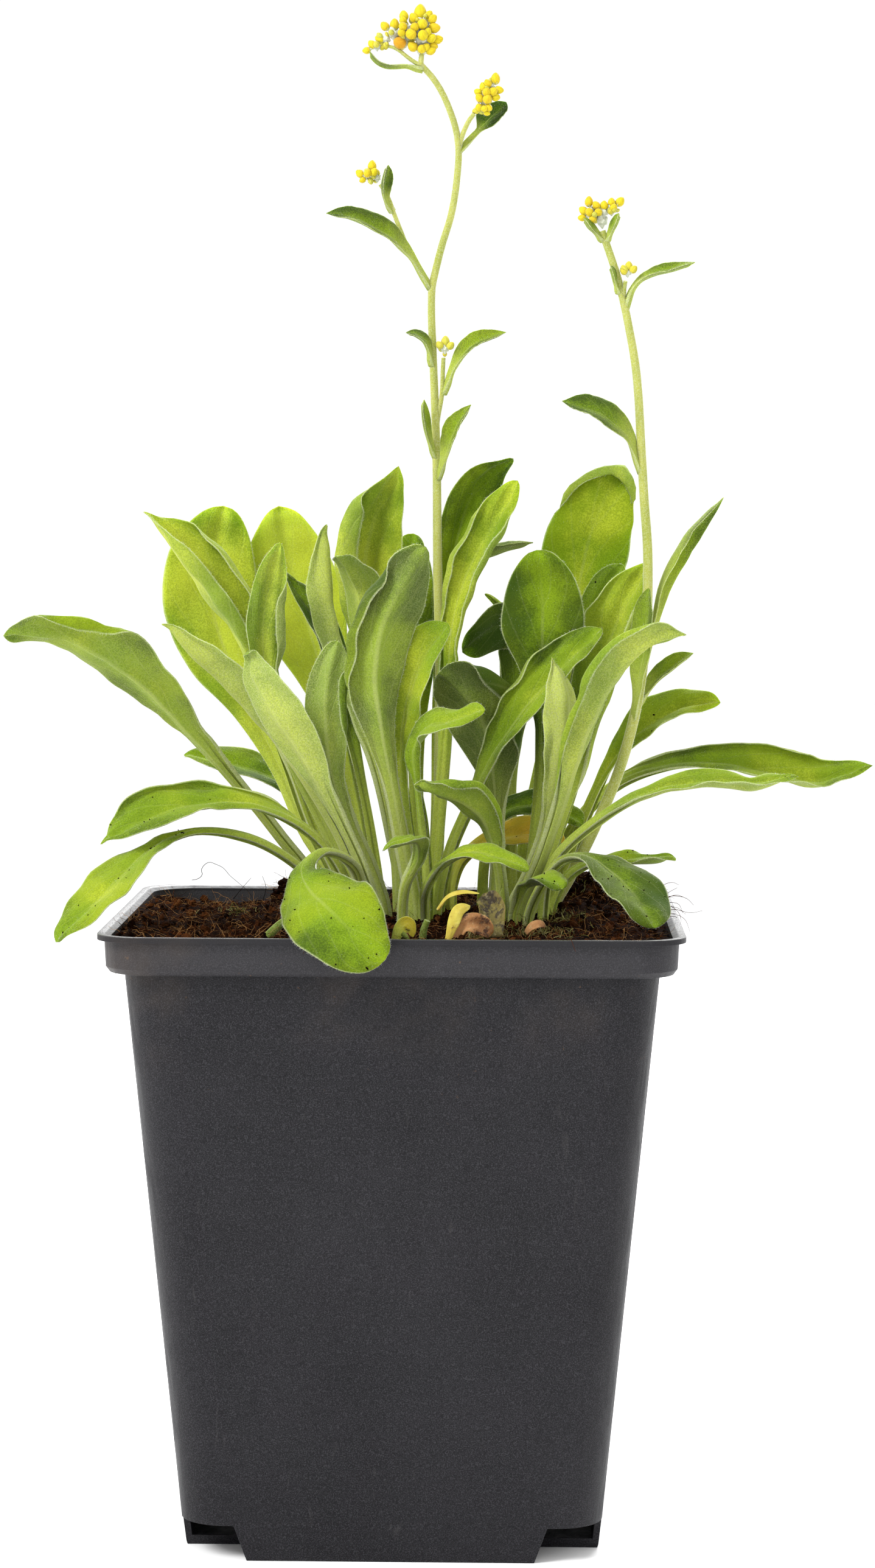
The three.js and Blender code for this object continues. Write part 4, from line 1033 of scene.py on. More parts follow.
# %% Helper that repeats a template


def stand(places, directions, widths, lengths, spin):
    """Matrices that put a template's z along each direction, scaled across and along."""
    z = unit(directions)
    x = unit(np.cross(z, spin))
    y = np.cross(z, x)
    matrices = np.zeros((len(places), 3, 4))
    matrices[:, :, 0] = x * np.reshape(widths, (-1, 1))
    matrices[:, :, 1] = y * np.reshape(widths, (-1, 1))
    matrices[:, :, 2] = z * np.reshape(lengths, (-1, 1))
    matrices[:, :, 3] = places
    return matrices


def any_way(draw, count):
    """Random directions."""
    return draw.normal(0, 1, (count, 3))


def repeat(name, template, matrices, material, tones=None, faceted=False):
    """One mesh that holds the template once for each matrix, each copy with its tone. Frees the template."""
    bmesh.ops.triangulate(template, faces=template.faces)
    template.verts.index_update()
    corners = np.array([v.co[:] for v in template.verts])
    faces = np.array([[v.index for v in face.verts] for face in template.faces])
    uv = template.loops.layers.uv.active
    flat = [loop[uv].uv[:] for face in template.faces for loop in face.loops] if uv else None
    template.free()
    count = len(matrices)
    points = np.einsum("nij,kj->nki", matrices[:, :, :3], corners) + matrices[:, None, :, 3]
    index = faces[None] + (np.arange(count) * len(corners))[:, None, None]
    mesh = bpy.data.meshes.new(name)
    mesh.from_pydata(points.reshape(-1, 3), [], index.reshape(-1, 3))
    if flat:
        layer = mesh.uv_layers.new(name="UVMap")
        layer.data.foreach_set("uv", np.tile(np.ravel(flat), count))
    if tones is not None:
        shown = np.repeat(np.c_[tones, np.ones(count)], len(corners), axis=0)
        layer = mesh.color_attributes.new("tone", "FLOAT_COLOR", "POINT")
        layer.data.foreach_set("color", np.ravel(shown))
    if not faceted:
        mesh.shade_smooth()
    mesh.materials.append(material)
    thing = place_in_scene(name, mesh)
    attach(thing, "root")
    print(name, "copies", count, "triangles", count * len(faces))
    return thing


def spike():
    """A hair: an open cone of three sides, one unit long, from the origin up z."""
    bm = bmesh.new()
    bmesh.ops.create_cone(bm, segments=3, radius1=1.0, radius2=0.0, depth=1.0, cap_ends=False)
    bmesh.ops.translate(bm, verts=bm.verts, vec=(0, 0, 0.5))
    bmesh.ops.remove_doubles(bm, verts=bm.verts, dist=1e-6)
    return bm


sample = spike()
print("faces of one hair", len(sample.faces))
sample.free()

# %% [markdown]
# The white line round every leaf is wool: hairs up to half a millimetre long that stand out from the margin
# and lie over each other. Hair curves would be lost when the model is exported, so these are slim cones in
# one mesh. Shorter ones on the stems and blades come later.

# %% Wool on the leaves
MARGIN_SPACING = 0.135
MARGIN_HAIR = 0.4
HAIR_RADIUS = 0.012


def wool_finish():
    material, tree, shader, place = new_material(
        "wool", 0.9, Sheen_Weight=0.5, Sheen_Roughness=0.5, Subsurface_Weight=0.2,
        Subsurface_Radius=(1.0, 1.0, 0.8), Subsurface_Scale=0.0004)
    tint = mix(tree, grain(tree, place.outputs["Object"], 300), colour(216, 224, 188), colour(244, 246, 234))
    tree.links.new(tint, shader.inputs["Base Color"])
    return material


wool_felt = wool_finish()


def margin_hairs(blade, draw):
    """Places, directions and lengths of the hairs along both margins of a blade."""
    up = blade.normals()
    places, directions = [], []
    for column, inner in ((0, 1), (-1, -2)):
        line = blade.points[:, column]
        out = line - blade.points[:, inner]
        out[-1] = line[-1] - blade.points[-3, column]
        out = unit(out)
        travelled = distances(line)
        keep = blade.along > 0.1
        count = int(travelled[-1] / MM / MARGIN_SPACING)
        at = np.sort(draw.uniform(travelled[keep][0], travelled[-1], count))
        spot = read_along(at, travelled, line)
        aim = read_along(at, travelled, out)
        lift = read_along(at, travelled, up[:, column])
        spread = draw.normal(0, 0.45, (count, 3))
        places.append(spot - lift * draw.uniform(0, MARGIN_THICK, (count, 1)) * MM - aim * 0.05 * MM)
        directions.append(aim + spread + lift * draw.normal(0, 0.35, (count, 1)))
    return np.concatenate(places), np.concatenate(directions)


def add_wool():
    draw = np.random.default_rng(SEED)
    gathered = [margin_hairs(blade, draw) for blade in leaves.values()]
    places = np.concatenate([g[0] for g in gathered])
    directions = np.concatenate([g[1] for g in gathered])
    lengths = MARGIN_HAIR * MM * draw.uniform(0.5, 1.25, len(places))
    matrices = stand(places, directions, np.full(len(places), HAIR_RADIUS * MM), lengths,
                     any_way(draw, len(places)))
    wool = repeat("margin_wool", spike(), matrices, wool_felt)


add_wool()

# %% [markdown]
# The pot is filled with peat, which on the real plant is a mat of short brown fibres with crumbs, roots and
# a little moss. Its level rises to small heaps at the back and sinks towards the rear left corner. The same
# formula as in the solid model gives the height, so everything can be set down on it. Against the walls
# that the photograph shows from above the peat is banked up a little more.

# %% Peat level
SOIL_LEVEL = 97.2
MOUNDS = [(35, 22, 4.6, 9), (24, 6, 1.6, 13), (-18, 27, 4, 3.6), (-3, 4, 1.3, 14)]
HOLLOW = (-31, 37, -1.9, 15)
PEAT_HALF = 42.7
PEAT_CORNER = 6.2
BANK = 0.8


def peat_bank(x, y):
    """How much higher the peat lies against the left and front walls, in mm."""
    return BANK * np.maximum(np.exp(-((PEAT_HALF + x) / 5)**2), 0.6 * np.exp(-((PEAT_HALF + y) / 5)**2))


def peat_level(x, y):
    """Height of the peat in mm above a place in mm."""
    height = SOIL_LEVEL + 0.25 * np.sin(x * 0.55 + 1) * np.cos(y * 0.5) + 0.2 * np.sin((x - y) * 0.9)
    for right, back, rise, spread in [*MOUNDS, HOLLOW]:
        height = height + rise * np.exp(-((x - right)**2 + (y - back)**2) / spread**2)
    return height + peat_bank(x, y)


def round_off(x, y):
    """Moves a point of a square into a square with round corners, both as half sizes in mm."""
    size = max(abs(x), abs(y))
    corner = PEAT_CORNER * size / PEAT_HALF
    inner = size - corner
    if corner < 1e-6 or min(abs(x), abs(y)) <= inner:
        return x, y
    angle = math.pi / 4 * (min(abs(x), abs(y)) - inner) / corner
    far, near = inner + corner * math.cos(angle), inner + corner * math.sin(angle)
    flat = (far, near) if abs(x) >= abs(y) else (near, far)
    return math.copysign(flat[0], x), math.copysign(flat[1], y)


print("peat level at the middle", round(float(peat_level(0, 0)), 2))

# %% [markdown]
# Peat is nearly black where it is wet and deep, and tan where a fibre has dried. One noise mixes two
# browns, a finer one adds pale specks, and the tone stored on each crumb or fibre makes it paler or darker
# than the next. Fibres and moss are the same recipe in other colours, so one function makes all three.

# %% Peat finish


def peat_finish(name, dark, middle, light, scale):
    material, tree, shader, place = new_material(name, 1.0, Specular_IOR_Level=0.03)
    spot = place.outputs["Object"]
    clumps = grain(tree, spot, scale, 5, 0.7)
    specks = grain(tree, spot, scale * 6, 3, 0.7)
    tone = stored_tone(tree)
    base = mix(tree, step(tree, clumps, 0.35, 0.62), dark, middle)
    pale = calc(tree, "ADD", step(tree, specks, 0.55, 0.75, 0.0, 0.6), tone["Red"])
    base = mix(tree, step(tree, pale, 0.0, 1.0), base, light)
    tree.links.new(base, shader.inputs["Base Color"])
    bump(tree, shader, calc(tree, "ADD", clumps, specks), 0.8, 0.0003)
    return material


peat_dark = peat_finish("peat", colour(3, 1, 0), colour(34, 15, 5), colour(122, 72, 36), 620)
peat_fibre = peat_finish("peat_fibre", colour(30, 12, 4), colour(92, 48, 20), colour(190, 142, 88), 160)
moss_green = peat_finish("moss", colour(70, 66, 30), colour(124, 118, 58), colour(188, 184, 128), 300)
print("finishes for the soil", peat_dark.name, peat_fibre.name, moss_green.name)

# %% [markdown]
# The bed of peat is one closed body. A fine grid is laid over the level and roughened with a fractal noise,
# because a bump in the material alone would leave its outline smooth. Its border is pushed down along the
# inside of the pot to the floor, and closed there.

# %% Peat bed
PEAT_CELLS = 150
# half size and height of the rings below the surface, down the inside of the pot
PEAT_BELOW = [(PEAT_HALF, 94.6), (39.9, 92.6), (31.73, 6.6), (15.65, 1.9)]


def roughness_of_peat(x, y):
    spot = Vector((x, y, 0))
    coarse = noise.fractal(spot * 0.32, 0.9, 2.1, 4)
    fine = noise.fractal(spot * 1.7 + Vector((9, 4, 1)), 0.7, 2.0, 3)
    return 0.6 * coarse + 0.5 * fine


def build_peat():
    bm = bmesh.new()
    bmesh.ops.create_grid(bm, x_segments=PEAT_CELLS, y_segments=PEAT_CELLS, size=PEAT_HALF)
    for point in bm.verts:
        x, y = round_off(point.co.x, point.co.y)
        inland = min(1.0, (PEAT_HALF - max(abs(x), abs(y))) / 2.5)
        height = float(peat_level(x, y)) + roughness_of_peat(x, y) * (0.3 + 0.7 * inland)
        if inland < 0.6:
            height = min(height, POT_HEIGHT - 0.55)
        point.co = (x * MM, y * MM, height * MM)
    border = [edge for edge in bm.edges if edge.is_boundary]
    size = PEAT_HALF
    for half, height in PEAT_BELOW:
        points, border = push_on(bm, border)
        bmesh.ops.scale(bm, verts=points, vec=(half / size, half / size, 1))
        for point in points:
            point.co.z = height * MM
        size = half
    bmesh.ops.contextual_create(bm, geom=border)
    bmesh.ops.recalc_face_normals(bm, faces=bm.faces)
    bed = new_object("peat_bed", bm, [peat_dark])
    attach(bed, "root")
    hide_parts("soil")
    print("peat faces", len(bed.data.polygons))


build_peat()

# %% [markdown]
# On top lie the loose things, and they make the peat look real: crumbs, which are small balls pushed out of
# shape, and fibres, which are hair-thin tubes that bend one way and then the other. Both are repeated from
# a few templates. Those with thousands of copies have only a few dozen faces.

# %% Templates for crumbs and fibres


def crumb(level, seed):
    bm = bmesh.new()
    bmesh.ops.create_icosphere(bm, subdivisions=level, radius=1.0)
    for point in bm.verts:
        point.co *= 1 + 0.8 * noise.noise(point.co * 1.6 + Vector((seed, 0, 0)))
    return bm


def fibre(turns, thick, narrowing=0.82):
    """A root of length one: a ring of three points that is pushed on, turned and narrowed again and again."""
    bm = bmesh.new()
    bmesh.ops.create_circle(bm, segments=3, radius=thick)
    ring = list(bm.edges)
    place = Vector((0, 0, 0))
    angle = 0.0
    for turn in turns:
        points, ring = push_on(bm, ring)
        angle += math.radians(turn)
        onward = Vector((0, math.sin(angle), math.cos(angle))) / len(turns)
        place = place + onward
        bmesh.ops.translate(bm, verts=points, vec=onward)
        bmesh.ops.rotate(bm, verts=points, cent=place, matrix=Matrix.Rotation(-math.radians(turn), 3, "X"))
        bmesh.ops.scale(bm, verts=points, vec=(narrowing,) * 3, space=Matrix.Translation(-place))
    return bm


sample = fibre((32, 38, 30), 0.013)
print("faces of one fibre", len(sample.faces))
sample.free()

# %% [markdown]
# Things fall anywhere inside the rim, and more of them lie on the heaps. Letting them drop with physics
# would take long and give much the same picture, so their places are drawn at random and set down on the
# level.

# %% Where loose things lie


def scattered(draw, count):
    """Random places in mm, inside the rim and outside its corners."""
    spots = draw.uniform(-PEAT_HALF + 0.4, PEAT_HALF - 0.4, (count * 2, 2))
    inside = np.maximum(np.abs(spots) - (PEAT_HALF - 0.4 - PEAT_CORNER), 0)
    return spots[np.linalg.norm(inside, axis=1) < PEAT_CORNER][:count]


def heaped(draw, count, mound, share=0.6):
    right, back, _, spread = mound
    spots = draw.normal(0, spread * share, (count, 2)) + (right, back)
    return np.clip(spots, -PEAT_HALF + 0.5, PEAT_HALF - 0.5)


def on_peat(spots, lift):
    return np.c_[spots, peat_level(spots[:, 0], spots[:, 1]) + lift] * MM


def lay(name, template, spots, lift, sizes, directions, material, draw, stretch=1.0, tones=None,
        faceted=False):
    """Repeats a template over the peat, in mm."""
    count = len(spots)
    matrices = stand(on_peat(spots, lift), directions, sizes * MM, sizes * stretch * MM,
                     any_way(draw, count))
    thing = repeat(name, template, matrices, material, tones, faceted)


def shades(draw, count, low, high):
    """Tones for loose things: how much paler or darker than usual each one is."""
    return np.c_[draw.uniform(low, high, count), np.zeros(count), np.zeros(count)]


print("heaps", len(MOUNDS))

# %% [markdown]
# Crumbs come in three sizes, and many more are small than large. A few dozen clumps of two to four
# millimetres lie on the heaps. All keep their flat facets, because peat breaks like that.

# %% Crumbs and clumps
CRUMBS = [
    # fineness of the ball, count, least and largest radius
    (1, 2200, 0.1, 0.26),
    (1, 1500, 0.16, 0.42),
    (2, 300, 0.3, 0.7),
]
SMALLER_CLUMPS = 19


def lay_crumbs():
    draw = np.random.default_rng(SEED + 1)
    for index, (level, count, small, large) in enumerate(CRUMBS):
        heaps = [heaped(draw, count // 5, MOUNDS[0]), heaped(draw, count // 14, MOUNDS[2])]
        spots = np.concatenate([scattered(draw, count), *heaps])
        total = len(spots)
        sizes = draw.uniform(small, large, total)
        lay(f"peat_crumbs_{index}", crumb(level, index * 7.3), spots, sizes * draw.uniform(0.1, 1.1, total),
            sizes, any_way(draw, total), peat_dark, draw, draw.uniform(0.7, 1.7, total),
            shades(draw, total, -0.3, 0.55), faceted=True)


def lay_clumps():
    draw = np.random.default_rng(SEED + 2)
    spots = np.concatenate([heaped(draw, 34, MOUNDS[0], 0.55), heaped(draw, 9, MOUNDS[2], 0.5),
                            scattered(draw, 10)])
    total = len(spots)
    sizes = draw.uniform(0.9, 1.9, total)
    sizes[-SMALLER_CLUMPS:] *= 0.6
    lay("peat_clumps", crumb(3, 2.2), spots, sizes * 0.25, sizes, any_way(draw, total), peat_dark,
        draw, draw.uniform(0.7, 1.3, total), shades(draw, total, -0.2, 0.3), faceted=True)


lay_crumbs()
lay_clumps()

# %% [markdown]
# Peat is mostly fibre: the remains of moss and sedge, thinner than a hair. They lie nearly flat and cross
# each other, and one end sticks up here and there. Three ways of bending are enough for a tangle.

# %% Fibres
FIBRE_THICK = 0.013
FIBRES = [
    # name, turns in degrees, count, least and most length, how much they stand up
    ("peat_fibres_arched", (32, 38, 30), 2000, 0.9, 2.8, 0.5),
    ("peat_fibres_waved", (42, -50, 30, -38), 1400, 1.2, 4.0, 0.35),
    ("peat_fibres_straight", (12, -15), 2600, 0.8, 2.6, 0.45),
]


def lay_fibres():
    draw = np.random.default_rng(SEED + 3)
    for name, turns, count, short, long, rise in FIBRES:
        spots = np.concatenate([scattered(draw, count), heaped(draw, count // 8, MOUNDS[0]),
                                heaped(draw, count // 20, MOUNDS[2])])
        total = len(spots)
        directions = np.c_[draw.normal(0, 1, (total, 2)), draw.normal(0.1, rise, total)]
        lay(name, fibre(turns, FIBRE_THICK), spots, draw.uniform(0.1, 0.7, total),
            draw.uniform(short, long, total),
            directions, peat_fibre, draw, 1.0, shades(draw, total, -0.9, 1.0))


lay_fibres()

# %% [markdown]
# Here and there moss has started to grow. A tuft is a crowd of short thick fibres that stand up, in dull
# green.

# %% Moss
MOSS_THICK = 0.07
MOSS = [
    # place, spread, count
    ((22, -24), 7, 260), ((26, -6), 4, 110), ((14, -30), 3, 90), ((-12, -22), 3, 60), ((-27, 6), 4, 60),
    ((31, 20), 5, 90),
]


def lay_moss():
    draw = np.random.default_rng(SEED + 4)
    spots = np.concatenate([draw.normal(0, spread / 2, (count, 2)) + place for place, spread, count in MOSS])
    spots = np.clip(spots, -PEAT_HALF + 0.5, PEAT_HALF - 0.5)
    total = len(spots)
    directions = np.c_[draw.normal(0, 0.8, (total, 2)), draw.uniform(0.3, 1.0, total)]
    lay("moss_tufts", fibre((20, 15, 20), MOSS_THICK), spots, draw.uniform(0, 0.5, total),
        draw.uniform(0.6, 1.5, total), directions, moss_green, draw, 1.0, shades(draw, total, -0.3, 0.6))


lay_moss()

# %% [markdown]
# Stems, stubs and single roots are all round things that follow a path and grow thinner. A curve with a
# round bevel does that: each of its points carries its own radius. It is turned into a mesh at once,
# because the fuzz is then set on its skin.

# %% Helper for stems and roots


def follow(points, count):
    """Points in mm on a smooth path, spaced evenly."""
    points = np.array(points, float)
    knots = distances(points)
    return smooth(knots / knots[-1], points, np.linspace(0, 1, count))


def tubes(name, paths, material, roundness=2):
    """Tubes in one mesh. Each path is its points in mm, its first and last radius, and its steps."""
    data = bpy.data.curves.new(name, "CURVE")
    data.dimensions = "3D"
    data.bevel_depth = MM
    data.bevel_resolution = roundness
    data.use_fill_caps = True
    for points, first, last, count in paths:
        line = follow(points, count)
        spline = data.splines.new("POLY")
        spline.points.add(count - 1)
        for place, point, radius in zip(line, spline.points, np.linspace(first, last, count)):
            point.co = (*(place * MM), 1)
            point.radius = radius
    curve = place_in_scene(name + "_curve", data)
    mesh = bpy.data.meshes.new_from_object(curve.evaluated_get(bpy.context.evaluated_depsgraph_get()))
    bpy.data.objects.remove(curve)
    mesh.name = name
    mesh.shade_smooth()
    mesh.materials.clear()
    mesh.materials.append(material)
    thing = place_in_scene(name, mesh)
    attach(thing, "root")
    print(name, "faces", len(mesh.polygons))
    return thing


print("steps on a path", len(follow([(0, 0, 0), (0, 0, 5)], 12)))

# %% [markdown]
# A few single roots show against the white: a thin loop over the rear left of the rim, and a frayed bundle
# that hangs out over the right side. They are too fine to be solids, and follow the photograph's outline.

# %% Single roots
ROOT_LOOP = [(-36.2, 33, 100.4), (-35.1, 32.6, 100.7), (-34.4, 32.2, 101.4), (-34.5, 32, 102.3),
             (-33.9, 31.8, 103.2), (-33.1, 31.6, 103.6), (-32.1, 31.4, 103.3), (-30.8, 31.2, 102.7),
             (-29.6, 31, 101.4), (-28.3, 31, 100.3), (-26.4, 31, 98.6), (-25.2, 31, 96.6)]
ROOT_TWIGS = [
    [(-29, 31, 97.4), (-27.4, 31, 99.4), (-26, 31, 101)],
    [(-24, 30, 97), (-23.4, 30, 99.6), (-24, 30, 101.4)],
    [(-39.5, -38, 97), (-40.4, -39, 99), (-41.4, -40, 100.4)],
]
RIM_ROOTS = [
    [(41, 4, 97.6), (43.6, 3.4, 99.2), (45.3, 3.2, 99.0), (46.6, 2.6, 98.0)],
    [(41, 8, 98), (43.8, 8.2, 100.2), (45.4, 7.4, 100.7), (47.1, 6.8, 100.1)],
    [(41, -2, 97.6), (44.2, -3, 98.7), (46.2, -3.6, 97.8), (47.0, -4, 95.9)],
    [(41.6, 12, 98.4), (44.4, 12.6, 100.8), (45.6, 13, 101.4)],
    [(41.4, 16, 99), (43.6, 16.6, 101.6), (45.2, 17, 101.9), (46.0, 17, 101.5)],
    [(41, -8, 97.4), (44.6, -9, 98.7), (45.6, -9.6, 96.8)],
    [(40.8, 1, 97.4), (44.6, 0.6, 99), (47.4, 0.2, 98.5), (49.2, 0, 98.9)],
    [(41, 10, 98), (44, 10.6, 99.2), (45.8, 10.2, 98.9), (46.4, 10.4, 97.5)],
    [(41.4, 14, 98.6), (44.8, 14.4, 99.9), (47.4, 14.4, 99.4), (48.4, 14, 98.4)],
    [(41, 6, 97.8), (44.6, 5.4, 98.9), (45.8, 5, 97.6), (45.9, 4.8, 95.8)],
    [(-12, -42, 97.4), (-12.4, -45.3, 98.7), (-13, -45.6, 96.4)],
    [(27, -42, 97.4), (27.4, -45.3, 98.6), (28, -45.6, 97)],
]
twigs = [(twig, 0.06, 0.03, 10) for twig in ROOT_TWIGS]
tubes("root_loop", [(ROOT_LOOP, 0.05, 0.03, 40)] + twigs, peat_dark, 1)
tubes("rim_roots", [(root, 0.07, 0.025, 14) for root in RIM_ROOTS], peat_fibre, 1)

# %% [markdown]
# Dead and dying things lie at the foot of the plant, and small leaves stand on its flowering stems. They
# are blades made by the same class as the leaves. Their rows don't come from a packed leaf but from a path:
# a middle line, a side to face, and a width.

# %% Rows along a path
PATH_ROWS = 15
SMALL_ROWS = 26
SMALL_COLUMNS = 10


def transport(ahead, face, start):
    """Turns of the upper side along a path, without twist, level with the face at one place."""
    def level(vector, along):
        flat = vector - along * np.dot(vector, along)
        return flat / np.linalg.norm(flat)
    ups = np.zeros_like(ahead)
    ups[start] = level(np.array(face, float), ahead[start])
    for index in range(start + 1, len(ahead)):
        ups[index] = level(ups[index - 1], ahead[index])
    for index in range(start - 1, -1, -1):
        ups[index] = level(ups[index + 1], ahead[index])
    return ups


def rows_along(path, face, width, stalk=1.2, start=0.1, widest=0.62, fold=25, tip=0.5):
    """Rows of five points for a small leaf, from a path in mm."""
    at = follow(path, PATH_ROWS)
    share = np.linspace(0, 1, PATH_ROWS)
    ahead = unit(np.gradient(at, axis=0))
    ups = transport(ahead, face, int(widest * (PATH_ROWS - 1)))
    across = np.cross(ahead, ups)
    close = np.clip((share - widest) / (1 - widest), 0, 1)
    half = (stalk + (width - stalk) * soft_step(share, start, widest)) / 2 * (1 - close**2)**tip
    angle = math.radians(fold)
    rows = []
    for side in (-1, -0.5, 0, 0.5, 1):
        lift = abs(side) * half * math.sin(angle) + 0.4 * (1 - abs(side)) * np.minimum(half, 1)
        rows.append(at + across * (side * half * math.cos(angle))[:, None] + ups * lift[:, None])
    return np.stack(rows, axis=1) * MM


def small_blade(name, rows, materials, tone, seed, thin=0.75, wave=0.12):
    blade = Blade(rows, 0.1, seed, SMALL_ROWS, SMALL_COLUMNS, wave, thin)
    thing = blade.mesh(name, materials, tone)
    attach(thing, "root")
    return blade, thing


print("cells of a small blade", SMALL_COLUMNS, "by", SMALL_ROWS)

# %% [markdown]
# A dead leaf keeps its form and loses its green. The same kind of material does, in yellow, tan and olive,
# with brown blotches that grow together where it rots.

# %% Dead leaf finish


def dead_finish(name, fresh, dry, rot, rotten):
    material, tree, shader, place = new_material(
        name, 0.85, Sheen_Weight=0.02, Subsurface_Weight=0.3, Subsurface_Radius=(1.0, 0.7, 0.2),
        Subsurface_Scale=0.0008)
    spot = place.outputs["Object"]
    cloud = grain(tree, spot, 260, 4, 0.6)
    veins = grain(tree, spot, 1500, 4, 0.7)
    blotch = grain(tree, spot, 520, 4, 0.65)
    base = mix(tree, step(tree, cloud, 0.35, 0.65), fresh, dry)
    base = mix(tree, step(tree, blotch, rotten, rotten + 0.12), base, rot)
    base = mix(tree, step(tree, veins, 0.5, 0.75, 0.0, 0.35), base, colour(232, 216, 160))
    tree.links.new(base, shader.inputs["Base Color"])
    bump(tree, shader, calc(tree, "ADD", veins, blotch), 0.8, 0.00025)
    return material


dead_yellow = dead_finish("dead_leaf_yellow", colour(238, 222, 92), colour(216, 190, 62),
                          colour(120, 84, 30), 0.62)
dead_tan = dead_finish("dead_leaf_tan", colour(196, 142, 84), colour(158, 106, 58), colour(78, 46, 24), 0.5)
dead_olive = dead_finish("dead_leaf_olive", colour(126, 114, 46), colour(92, 80, 30),
                         colour(50, 38, 16), 0.5)
print("dead finishes", dead_yellow.name, dead_tan.name, dead_olive.name)

# %% [markdown]
# The litter is the yellow remains of two leaves, a wilted olive leaf, two tan scraps and a small green one.
# Each lies where the photograph shows it. Two of them take the place of solids, and the others are too
# small for one.

# %% Litter
LITTER = [
    # name, path, face, width, fold, wave, finish, node
    ("scrap_yellow", [(8.6, -38, 97.6), (9.4, -37, 100.2), (10.4, -35.2, 102.2), (12, -33.6, 102.7)],
     (0.3, -0.9, 0.3), 2.1, 6, 0.15, dead_yellow, "dead_leaf_yellow"),
    ("scrap_olive", [(16, -32.4, 97.6), (15.5, -31, 100), (15, -29, 102), (14, -27, 104)],
     (0.2, -1, 0.3), 4.8, 30, 1.2, dead_olive, "dead_leaf_olive"),
    ("scrap_tan", [(9.6, -35.8, 97.7), (11.2, -35.4, 99.6), (13, -35, 99.9), (15, -34.6, 98)],
     (0, -1, 0.5), 3.8, 34, 1.2, dead_tan, None),
    ("scrap_arch", [(6.8, -29, 101.6), (8.4, -29.2, 103.6), (10.8, -29.4, 104.4), (13.4, -29, 104.2)],
     (0, -0.5, 0.85), 1.1, 10, 0.15, dead_yellow, None),
    ("scrap_amber", [(20.6, -29, 98), (21.6, -29.6, 99.2), (22.8, -29.4, 99.5), (23.6, -29, 99.0)],
     (0, -1, 0.6), 1.7, 24, 0.5, dead_tan, None),
    ("scrap_green", [(0.4, -38.4, 97.4), (1.4, -38, 99.4), (2.4, -37.4, 100.2), (3.4, -37.2, 98.2)],
     (0.2, -1, 0.4), 2.4, 14, 0.3, yellow_leaf, None),
]
for number, (name, path, face, width, fold, wave, finish, node) in enumerate(LITTER):
    rows = rows_along(path, face, width, stalk=width * 0.5, start=0.0, widest=0.5, fold=fold)
    _, scrap = small_blade(name, rows, [finish, finish], (0.3, 0.3, 0.3), number * 2.9, 0.4, wave)
    if node:
        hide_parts(node)
print("scraps", len(LITTER))

# %% [markdown]
# A flowering stem is yellow-green with faint streaks, and its short felt makes it look powdered. A Layer
# Weight node paints a pale edge into the colour, most where the stem turns away: a painted sheen.

# %% Stem finish


def stem_finish(name, dull, light, streak, felt):
    material, tree, shader, place = new_material(
        name, 0.75, Sheen_Weight=0.15, Sheen_Roughness=0.4, Sheen_Tint=(0.97, 1.0, 0.85, 1),
        Subsurface_Weight=0.3, Subsurface_Radius=(0.9, 1.0, 0.2), Subsurface_Scale=0.0007,
        Specular_IOR_Level=0.08)
    spot = place.outputs["Object"]
    stretched = add(tree, "ShaderNodeMapping", {"Vector": spot, "Scale": (1.0, 1.0, 0.12)}).outputs[0]
    streaks = grain(tree, stretched, 900, 3, 0.6)
    cloud = grain(tree, spot, 90, 2)
    fine = grain(tree, spot, 4200, 3, 0.7)
    base = mix(tree, step(tree, cloud, 0.35, 0.65), dull, light)
    base = mix(tree, step(tree, streaks, 0.4, 0.7, 0.0, 0.5), base, streak)
    base = mix(tree, step(tree, fine, 0.4, 0.66, 0.05, 0.4), base, felt)
    # painted sheen: the colour goes pale towards the felt where the surface turns away from view
    edge = add(tree, "ShaderNodeLayerWeight", {"Blend": 0.4}).outputs["Facing"]
    base = mix(tree, step(tree, edge, 0.4, 0.95, 0.0, 0.75), base, felt)
    tree.links.new(base, shader.inputs["Base Color"])
    bump(tree, shader, calc(tree, "ADD", fine, streaks), 0.7, 0.00012)
    return material


stem_felt = stem_finish("stem_felt", colour(176, 186, 66), colour(204, 206, 96), colour(150, 164, 44),
                        colour(238, 240, 196))
stub_green = stem_finish("stub_green", colour(88, 112, 26), colour(134, 150, 50), colour(66, 88, 14),
                         colour(176, 190, 120))
print("stem finishes", stem_felt.name, stub_green.name)

# %% [markdown]
# The centre stem curves to the left near its top and carries the large head, and the right one leans out
# before it stands up. Side branches start inside the main stem, so that no gap shows where they leave it.
# The paths are those of the solid model, in millimetres: a smooth curve needs only a point where the stem
# bends.

